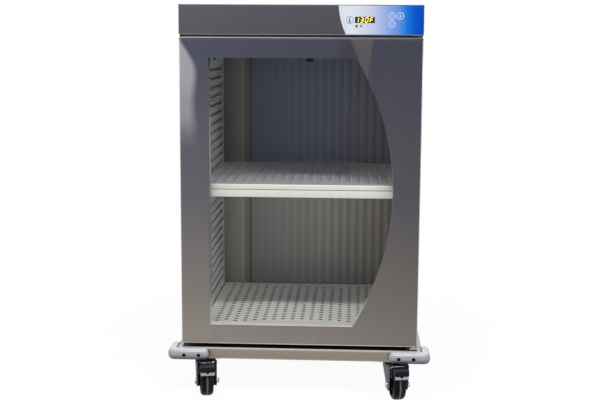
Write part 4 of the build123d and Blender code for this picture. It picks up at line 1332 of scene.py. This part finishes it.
def slotRecipe(sizes):
    # cuts straight columns of slots whose ends follow two bowed curves
    maker, given = newRecipe("slottedSheet", sizes)
    pitch, side, rows = given["Pitch"], given["Columns Each Side"], given["Rows"]
    first, last = given["First Row"], given["Last Row"]
    halfWide, deep = side * pitch, (rows - 1.0) * pitch
    grid = maker.node("GeometryNodeMeshGrid", None, {
        "Size X": halfWide * 2.0, "Size Y": deep, "Vertices X": side * 2.0 + 1.0, "Vertices Y": rows})
    here = maker.node("GeometryNodeInputPosition")
    x, y = (maker.node("ShaderNodeSeparateXYZ", None, {0: here}, axis) for axis in "XY")
    share = x / halfWide
    bow = 1.0 - share * share
    wanted = first + given["Front Bow"] * bow + (y + deep * 0.5)
    end = last - given["Rear Bow"] * bow + pitch * 0.4
    middle = (abs(x) < pitch * 0.5) * (abs(wanted - (first + last) * 0.5) < pitch * 0.5)
    kept = maker.node("GeometryNodeDeleteGeometry", {"domain": "POINT"}, {
        "Geometry": grid, "Selection": (wanted > end) + middle > 0.5})
    target = maker.node("ShaderNodeCombineXYZ", None, {0: x, 1: wanted, 2: given["Top"]})
    moved = maker.node("GeometryNodeSetPosition", None, {"Geometry": kept, "Position": target})
    size = maker.node("ShaderNodeCombineXYZ", None, {0: given["Slot Width"], 1: given["Slot Length"], 2: 1.0})
    disc = maker.node("GeometryNodeMeshCylinder", None, {"Vertices": 14, "Radius": 0.5, "Depth": 0.008})
    slot = maker.node("GeometryNodeTransform", None, {"Geometry": disc, "Scale": size})
    tools = maker.node("GeometryNodeInstanceOnPoints", None, {"Points": moved, "Instance": slot})
    real = maker.node("GeometryNodeRealizeInstances", None, {0: tools})
    cut = maker.node("GeometryNodeMeshBoolean", {"operation": "DIFFERENCE"}, {0: given["Geometry"], 1: real})
    return closeRecipe(maker, cut, given["Material"])


slots = slotRecipe(slotSizes)


def slottedSheet(name, sizes, replaced):
    rough = shape(name + "Rough", openTray(sizes), sizes["sheet"])
    made = runRecipe(slots, rough, {"Top": sizes["high"], "Material": finishes[sizes["finish"]]}, name)
    dress(made, "cabinet", sizes["finish"], (replaced,))

    front, back, top, side = (sizes[name] for name in ("front", "back", "high", "halfX"))
    margin = 0.01  # no slot is this near to an edge

    def onSlotWall(face):
        return (abs(face.normal.z) < 0.2 and face.center.z > top - sizes["sheet"]
                and abs(face.center.x) < side - margin and front + margin < face.center.y < back - margin)

    # painted highlight on the upward folds
    recoat(made, "paleSheet", lambda face: slanted(face.normal.z) and face.normal.z > 0)
    recoat(made, sizes["lip"], lambda face: face.normal.y < -0.5 and face.center.y < front + 0.002)
    # painted shade on the slot walls, then painted light on the lit ones
    recoat(made, sizes["slotWalls"], onSlotWall)
    if sizes["litTo"] is not None:
        recoat(made, "paleSheet", lambda face: onSlotWall(face) and face.center.y < sizes["litTo"]
               and face.normal.x < -0.15)


slottedSheet("floorPan", panSizes, "floor_pan")
slottedSheet("shelfDeck", deckSizes, "shelf_deck")

print("shelf frame")
frameSizes = {
    "halfX": 0.2605,
    "front": -0.2765,
    "rear": 0.2425,
    "top": 0.5482,
    "bottom": 0.51545,
    "beadTop": 0.5350,
    "beadLow": 0.5341,
    "grooveLow": 0.5336,
    "face": -0.2780,
    "web": 0.0015,
    "flange": 0.014,
    "railRounds": (0.0, 0.0, 0.0009, 0.0009, 0.0, 0.0, 0.0012, 0.0016, 0.0, 0.0, 0.0, 0.0),
    # in from each end, length, sheet, how far out, underside, corners
    "tabs": (0.08, 0.040, 0.003, 0.268, 0.52745, (0.0, 0.003, 0.003, 0.0)),
}


def frameBuild(sizes):
    # front rail with a bead and a groove under the deck's lip, plain rear rail, side webs with hanging tabs
    build = bmesh.new()
    half, web, bottom, top = sizes["halfX"], sizes["web"], sizes["bottom"], sizes["top"]
    front, rear, face, flange = sizes["front"], sizes["rear"], sizes["face"], sizes["flange"]
    beadTop, beadLow, grooveLow = sizes["beadTop"], sizes["beadLow"], sizes["grooveLow"]
    rail = [
        (front, top), (front, beadTop), (face, beadTop), (face, beadLow), (front, beadLow),
        (front, grooveLow), (face, grooveLow), (face, bottom), (front + flange, bottom),
        (front + flange, bottom + web), (front + web, bottom + web), (front + web, top)]
    prism(build, roundedOutline(rail, sizes["railRounds"], 3), alongX, -half, half)
    back = [(rear, top), (rear, bottom), (rear - flange, bottom), (rear - flange, bottom + web),
            (rear - web, bottom + web), (rear - web, top)]
    prism(build, back, alongX, -half, half)
    low, high = front + flange + 0.0003, rear - flange - 0.0003
    sideWeb = [(low, bottom), (high, bottom), (high, top), (low, top)]
    inset, length, sheet, reach, under, rounds = sizes["tabs"]
    for side in sides:
        prism(build, sideWeb, alongX, side * (half - web), side * half)
        for y in (front + inset, rear - inset):
            near, far = y - length / 2, y + length / 2
            tab = roundedOutline([(half, near), (reach, near), (reach, far), (half, far)], rounds, 3)
            prism(build, tab, lambda u, v, up: Vector((side * u, v, up)), under, under + sheet)
    return outward(build)


shelfFrame = settle("shelfFrame", frameBuild(frameSizes), "cabinet", "lipSheet", ("shelf_frame",),
                    smooth=30.0)
# painted shade in the groove behind the deck's lip
recoat(shelfFrame, "darkGasket", lambda face: abs(face.center.y - frameSizes["front"]) < hair
       and face.center.z > frameSizes["beadTop"])

print("casters")
casterSizes = {
    "place": (0.248, 0.299),
    "wheelRadius": 0.038,
    "halfTread": 0.0165,
    "trail": 0.036,
    "legOuter": 0.026,
    "legInner": 0.0235,
    "crownTop": 0.0895,
    "crownLow": 0.0865,
    "crownAhead": 0.036,
    "plate": (0.095, 0.067, 0.0985, 0.1015),  # length, width, underside, top
    "bolts": (0.038, 0.024),
    "nutsBelow": 0.06,
    "pivot": (0.042, 0.090),  # ahead and up
    "pedalHalf": 0.019,
    "cheek": (0.0176, 0.0227),  # from and to, on each side
    "ribs": ((0.0575, 0.0918), (0.0650, 0.0924)),
    "tip": 0.084,
    "lip": (0.0657, 0.0738),  # lower and upper edge of the lever's end
    "armSheet": 0.0018,
    # painted sheen and a painted highlight on the pedal
    "paintedSheenSpot": (0.0790, 0.0895, 0.0070),  # ahead, up, radius
    "paintedRibHighlight": (0.0575, 0.0928, 0.0165, 0.0018),  # ahead, up, radius, half width
}


def casterPlace(across, along, yaw, sizes):
    # local (side, ahead, up) to the cabinet's frame
    turn = Matrix.Rotation(radians(yaw), 3, "Z")
    base = Vector((across * sizes["place"][0], along * sizes["place"][1], 0))
    return lambda side, ahead, up: base + turn @ Vector((side, -ahead, up))


def slab(build, local, points, radius, low, high, steps=4):
    # flat piece of the caster: a rounded outline seen from the side, from low to high across
    prism(build, roundedOutline(points, radius, steps), lambda u, v, depth: local(depth, u, v), low, high)


def wheelBuild(sizes, local):
    build = bmesh.new()
    half, radius, trail = sizes["halfTread"], sizes["wheelRadius"], sizes["trail"]
    hub = metres((
        (1.5, 5.2), (0, 6.5), (0, 9.8), (1.5, 11.5), (6, 12.4), (6.5, 14.5), (6.5, 22.5), (5.5, 24.6),
        (1, 25.6), (0, 27)))
    tyre = metres(((0, 8.5), (0.8, 5.6), (2.6, 3.1), (5.4, 1.3), (9, 0.3), (12.8, 0), (15.2, 0)))
    side = [(half - inset, reach) for inset, reach in hub]
    side += [(half - inset, radius - drop) for inset, drop in tyre]
    profile = side + [(-along, reach) for along, reach in reversed(side)]
    turned(build, profile, lambda along, p, q: local(along, trail + p, radius + q), 64, closed=True)
    return outward(build)


def markTread(made, sizes, local):
    # where each point lies across the tyre, 0 in the middle and 1 at its side; 2 on the side walls
    side = (local(1, 0, 0) - local(0, 0, 0)).normalized()
    hub = local(0, sizes["trail"], sizes["wheelRadius"])
    place = made.data.attributes.new("tread", "FLOAT", "POINT")
    for item, vert in zip(place.data, made.data.vertices):
        away = vert.co - hub
        across = away.dot(side)
        onTread = (away - side * across).length > sizes["wheelRadius"] - 0.004
        item.value = across / sizes["halfTread"] if onTread else 2.0


def forkBuild(sizes, local):
    build = bmesh.new()
    top, low, trail = sizes["crownTop"], sizes["crownLow"], sizes["trail"]
    outer, inner = sizes["legOuter"], sizes["legInner"]
    leg = [(-0.020, top), (-0.020, 0.0795), (0.023, 0.034), (0.030, 0.025), (0.042, 0.025), (0.049, 0.034),
           (0.054, 0.0795), (0.054, 0.0935), (0.034, 0.0935), (0.026, top)]
    legRounds = metres((0, 5, 8, 7, 7, 8, 4, 3, 3, 2))
    for side in sides:
        slab(build, local, leg, legRounds, side * inner, side * outer)
    crown = [(x, -y) for x, y in arc(0, 0, outer, 0.0, pi, 24)]
    crown += [(-outer, sizes["crownAhead"]), (outer, sizes["crownAhead"])]
    prism(build, crown, local, low, top)
    bearing = metres(((0.2, 10), (0.2, 24.5), (1.2, 26.2), (3.2, 26.2), (4.5, 24.5), (4.5, 10)))
    bearing = [(top + up, radius) for up, radius in bearing]
    turned(build, bearing, lambda along, p, q: local(p, q, along), 40, closed=True)

    def axle(along, p, q):
        return local(along, trail + p, sizes["wheelRadius"] + q)

    def pin(along, p, q):
        return local(along, sizes["pivot"][0] + p, sizes["pivot"][1] + q)

    def stud(side, start, profile, place, steps):
        # a turned piece that stands out from start on one side
        turned(build, [(side * (start + along), radius) for along, radius in profile], place, steps)

    filler = metres((
        (24, 34), (30, 26.5), (42, 26.5), (48, 34), (48, 57), (37, 63), (37, 86.2), (12, 86.2), (12, 58)))
    washer = metres(((0, 0), (0, 9.4), (1.2, 9.4), (1.2, 0)))
    for side in sides:  # the filler closes the gap between the wheel and the leg
        slab(build, local, filler, 0.002, side * (sizes["halfTread"] + 0.001), side * (inner + 0.0002), 2)
        stud(side, outer, washer, axle, 28)
    # hexagon head on one side, domed nut on the other
    stud(-1, outer, metres(((1.2, 0), (1.2, 7.8), (4, 7.8), (4.6, 6.8), (4.6, 0))), axle, 6)
    stud(1, outer, metres(((1.2, 0), (1.2, 8), (3.4, 8), (3.4, 0))), axle, 6)
    dome = [(0.0046 * sin(pi / 2 * step / 6), 0.0068 * cos(pi / 2 * step / 6)) for step in range(7)]
    stud(1, outer + 0.0034, [(0.0, 0.0)] + dome, axle, 24)
    rivet = ((inner, 0.0), (inner, 0.0024), (outer + 0.0008, 0.0036), (outer + 0.0016, 0.0030),
             (outer + 0.0016, 0.0))
    stub = ((inner, 0.0), (inner, 0.0025), (sizes["pedalHalf"], 0.0025), (sizes["pedalHalf"], 0.0))
    for side in sides:
        stud(side, 0.0, rivet, pin, 16)
        stud(side, 0.0, stub, pin, 16)
    return outward(build)


def shadeFork(made, sizes, local):
    # painted shade inside the legs and under the crown, bright nuts outside them
    hub = local(0, 0, 0)
    side = (local(1, 0, 0) - hub).normalized()

    def reach(face):
        return abs((face.center - hub).dot(side))

    recoat(made, "forkInside", lambda face: face.center.z < sizes["crownLow"] + hair
           and reach(face) < sizes["legInner"] + hair)
    recoat(made, "brightZinc", lambda face: reach(face) > sizes["legOuter"] + hair
           and face.center.z < sizes["nutsBelow"])


def plateBuild(build, sizes, base):
    # top plate with its ball cup, kingpin nut and four bolts
    length, width, low, high = sizes["plate"]
    outline = roundedOutline(rectangle(0.0, 0.0, length, width), 0.006)
    prism(build, outline, lambda u, v, depth: base + Vector((u, v, depth)), low, high)
    cup = metres(((98.5, 0), (98.5, 27.5), (97, 27.8), (95, 26.8), (94.5, 24), (94.5, 0)))
    nut = metres(((86, 0), (86, 8.8), (81.7, 8.8), (80.7, 7.6), (80.7, 0)))
    stem = metres(((94.6, 0), (94.6, 6), (85.9, 6), (85.9, 0)))
    flange = metres(((98.6, 0), (98.6, 8.2), (97.8, 8), (97.5, 6), (97.5, 0)))
    head = metres(((97.6, 0), (97.6, 6.4), (96.2, 6.4), (95.7, 5.6), (95.7, 0)))
    turnings = [(0, 0, cup, 40), (0, 0, nut, 6), (0, 0, stem, 20)]
    reachX, reachY = sizes["bolts"]
    for dx in (-reachX, reachX):
        for dy in (-reachY, reachY):
            turnings += [(dx, dy, flange, 24), (dx, dy, head, 6)]
    for dx, dy, profile, steps in turnings:
        turned(build, profile, lambda along, p, q: base + Vector((dx + p, dy + q, along)), steps)
    return outward(build)


def pedalBuild(sizes, local):
    # black moulded foot pad with two ribs across it, and a shoe with two cheeks beside the wheel
    build = bmesh.new()
    tip, half = sizes["tip"], sizes["pedalHalf"]
    pad = [(0.0480, 0.0865), (0.0500, 0.0905), (0.0600, 0.0925), (tip - 0.011, 0.0918), (tip - 0.001, 0.0878),
           (tip, 0.0750), (tip - 0.004, 0.0750), (0.0640, 0.0810), (0.0520, 0.0850)]
    slab(build, local, pad, metres((1, 2, 3, 4, 2, 1, 1, 3, 1)), -half, half)
    shoe = metres(((45.5, 86), (45.5, 79.5), (53, 76.5), (62, 72.5), (64, 72.5), (64, 86)))
    slab(build, local, shoe, metres((1, 1, 2, 1, 1, 1)), -0.0228, 0.0228, 2)
    cheek = metres(((47, 79), (47, 70), (52, 66.5), (61, 64), (65, 66.5), (65, 74), (60, 79)))
    for side in sides:
        slab(build, local, cheek, 0.0012, *(side * depth for depth in sizes["cheek"]), 2)
    for ahead, up in sizes["ribs"]:
        rib = [(ahead - 0.0013, up - 0.003), (ahead + 0.0013, up - 0.003), (ahead + 0.0011, up + 0.0011),
               (ahead - 0.0011, up + 0.0011)]
        slab(build, local, rib, 0.0004, -half + 0.003, half - 0.003, 2)
    return outward(build)


def leverBuild(sizes, local):
    # steel lever: side arms from the pivot pin, and a turned-down lip with a notch under the pad
    build = bmesh.new()
    tip, half = sizes["tip"], sizes["pedalHalf"] - 0.001
    low, high = sizes["lip"]
    lip = [(-half, high), (-half, low + 0.0012), (-half + 0.002, low), (half - 0.002, low),
           (half, low + 0.0012), (half, high), (0.0045, high), (0.0, high - 0.0052), (-0.0045, high)]
    prism(build, lip, lambda u, v, depth: local(u, depth, v), tip - 0.0030, tip - 0.0008)
    arm = [(0.0385, 0.0940), (0.0385, 0.0868), (0.0620, 0.0790), (0.0790, 0.0740), (tip - 0.003, low),
           (tip - 0.001, low), (tip - 0.001, 0.0750), (0.0640, 0.0815), (0.0500, 0.0868), (0.0460, 0.0940)]
    armRounds = metres((3, 3, 4, 3, 0, 0, 0, 4, 2, 3))
    for side in sides:
        slab(build, local, arm, armRounds, side * (half - sizes["armSheet"]), side * half, 3)
    return outward(build)


def paintPedalSheen(made, sizes, local):
    # a painted sheen on the pad, and a painted highlight on a rib
    *spot, spotRadius = sizes["paintedSheenSpot"]
    *rib, ribRadius, ribHalf = sizes["paintedRibHighlight"]
    spot, rib, ahead = local(0, *spot), local(0, *rib), local(0, 1, 0) - local(0, 0, 0)

    def near(face, point, radius):
        return face.normal.z > 0.3 and (face.center - point).length < radius

    recoat(made, "glossyMoulding", lambda face: near(face, spot, spotRadius))
    recoat(made, "brightZinc", lambda face: near(face, rib, ribRadius)
           and abs((face.center - rib).dot(ahead)) < ribHalf)


plates = bmesh.new()
for name, (across, along, yaw) in corners.items():
    local = casterPlace(across, along, yaw, casterSizes)
    wheel = settle(name + "Wheel", wheelBuild(casterSizes, local), name + "_wheel", "blackRubber",
                   (name + "_wheel",), smooth=40.0)
    markTread(wheel, casterSizes, local)
    fork = settle(name + "Fork", forkBuild(casterSizes, local), name + "_fork", "forkZinc",
                  (name + "_fork",), bevel=0.0005)
    shadeFork(fork, casterSizes, local)
    pedal = settle(name + "Pedal", pedalBuild(casterSizes, local), name + "_pedal", "blackMoulding",
                   (name + "_pedal",), bevel=0.0006)
    paintPedalSheen(pedal, casterSizes, local)
    settle(name + "Lever", leverBuild(casterSizes, local), name + "_pedal", "zincPlate",
           bevel=0.0004)
    plateBuild(plates, casterSizes, local(0, 0, 0))
settle("casterPlates", plates, "cabinet", "zincPlate", ("caster_plates",), bevel=0.0004)

print("control panel")
panel = {
    "film": -0.3306,
    "keyFace": -0.3308,
    "ink": 0.00012,
    "keyRing": (0.0090, 0.0017),  # radius and width
    "gauge": (0.1218, 0.9682),
    "gaugeRing": (0.0092, 0.0012),
    "dot": (0.1386, 0.9532, 0.0031),
    "heat": ((0.1474, 0.9512), (0.1502, 0.9504), (0.1522, 0.9528), (0.1512, 0.9552), (0.1530, 0.9570),
             (0.1498, 0.9562), (0.1480, 0.9546)),
}


def printMark(name, outlines, face, body, finish):
    # thin printed shapes: each outline is a closed list of (x, z)
    build = bmesh.new()
    for outline in outlines:
        prism(build, outline, alongY, face, face - panel["ink"])
    settle(name, outward(build), body, finish)


def ringOutlines(x, z, radius, width, steps=40):
    # a ring drawn as short blocks, so that each outline is a simple polygon
    outer, inner = arc(x, z, radius, 0.0, 2 * pi, steps), arc(x, z, radius - width, 0.0, 2 * pi, steps)
    return [[outer[step], outer[step + 1], inner[step + 1], inner[step]] for step in range(steps)]


def chevron(x, z, size, up):
    form = ((-1, -0.5), (0, 0.7), (1, -0.5), (0.62, -0.62), (0, 0.28), (-0.62, -0.62))
    return [(x + size * u, z + up * size * v) for u, v in form]


keySigns = {
    "key_up": lambda x, z: chevron(x, z + 0.0003, 0.0042, 1),
    "key_down": lambda x, z: chevron(x, z - 0.0003, 0.0042, -1),
    "key_set": lambda x, z: [(x, z + 0.0040)] + arc(x, z - 0.0012, 0.0023, radians(20), radians(-220), 12),
}
for name, place in keyPlaces.items():
    marks = ringOutlines(*place, *panel["keyRing"]) + [keySigns[name](*place)]
    printMark(name + "Mark", marks, panel["keyFace"], name, "paleInk")

gaugeX, gaugeZ = panel["gauge"]
marks = ringOutlines(gaugeX, gaugeZ, *panel["gaugeRing"])
marks.append(rectangle(gaugeX, gaugeZ + 0.0016, 0.0024, 0.0080))
marks.append(circle(gaugeX, gaugeZ - 0.0036, 0.0027, 16))
printMark("gaugeMark", marks, panel["film"], "cabinet", "blueInk")
printMark("stateDot", [circle(*panel["dot"], 20)], panel["film"], "cabinet", "darkInk")
printMark("heatMark", [panel["heat"]], panel["film"], "cabinet", "greyInk")

digitSizes = {
    "face": -0.3303,
    "tall": 0.0134,
    "wide": 0.0084,
    "bar": 0.0021,
    "gap": 0.0002,
    "lean": 0.2,
    "step": 0.0118,
    "start": 0.1345,
    "low": 0.9618,
    "lit": (("1", "bc"), ("3", "abcdg"), ("0", "abcdef"), ("F", "aefg")),  # each sign and its segments
}


def segmentOutlines(sizes):
    wide, tall, bar, gap = sizes["wide"], sizes["tall"], sizes["bar"], sizes["gap"]
    half = bar / 2

    def level(z):
        return [(half + gap, z), (bar + gap, z + half), (wide - bar - gap, z + half), (wide - half - gap, z),
                (wide - bar - gap, z - half), (bar + gap, z - half)]

    def upright(x, low, high):
        return [(x, low + gap), (x + half, low + half + gap), (x + half, high - half - gap), (x, high - gap),
                (x - half, high - half - gap), (x - half, low + half + gap)]

    mid, bottom, top = tall / 2, half, tall - half
    return {
        "a": level(top), "g": level(mid), "d": level(bottom),
        "f": upright(half, mid, top), "b": upright(wide - half, mid, top),
        "e": upright(half, bottom, mid), "c": upright(wide - half, bottom, mid),
    }


def readoutOutlines(sizes):
    segments = segmentOutlines(sizes)
    made = []
    for index, (_, letters) in enumerate(sizes["lit"]):
        shift = sizes["start"] + index * sizes["step"]
        for letter in letters:
            made.append([(shift + x + sizes["lean"] * z, sizes["low"] + z) for x, z in segments[letter]])
    return made


printMark("readout", readoutOutlines(digitSizes), digitSizes["face"], "cabinet", "litSegments")

print("rack knobs")
knobSizes = {
    "place": (0.264, 0.007, 0.8665),
    "profile": metres(((0, 0), (0, 2.8), (1.2, 3.6), (3.4, 4), (5.6, 3.6), (7, 2.4), (7.5, 0))),
}


def knobsBuild(sizes):
    build = bmesh.new()
    x, y, z = sizes["place"]
    for side in sides:
        turned(build, sizes["profile"], lambda along, p, q: Vector((side * (x - along), y + p, z + q)), 24)
    return outward(build)


settle("rackKnobs", knobsBuild(knobSizes), "cabinet", "blackScrew")
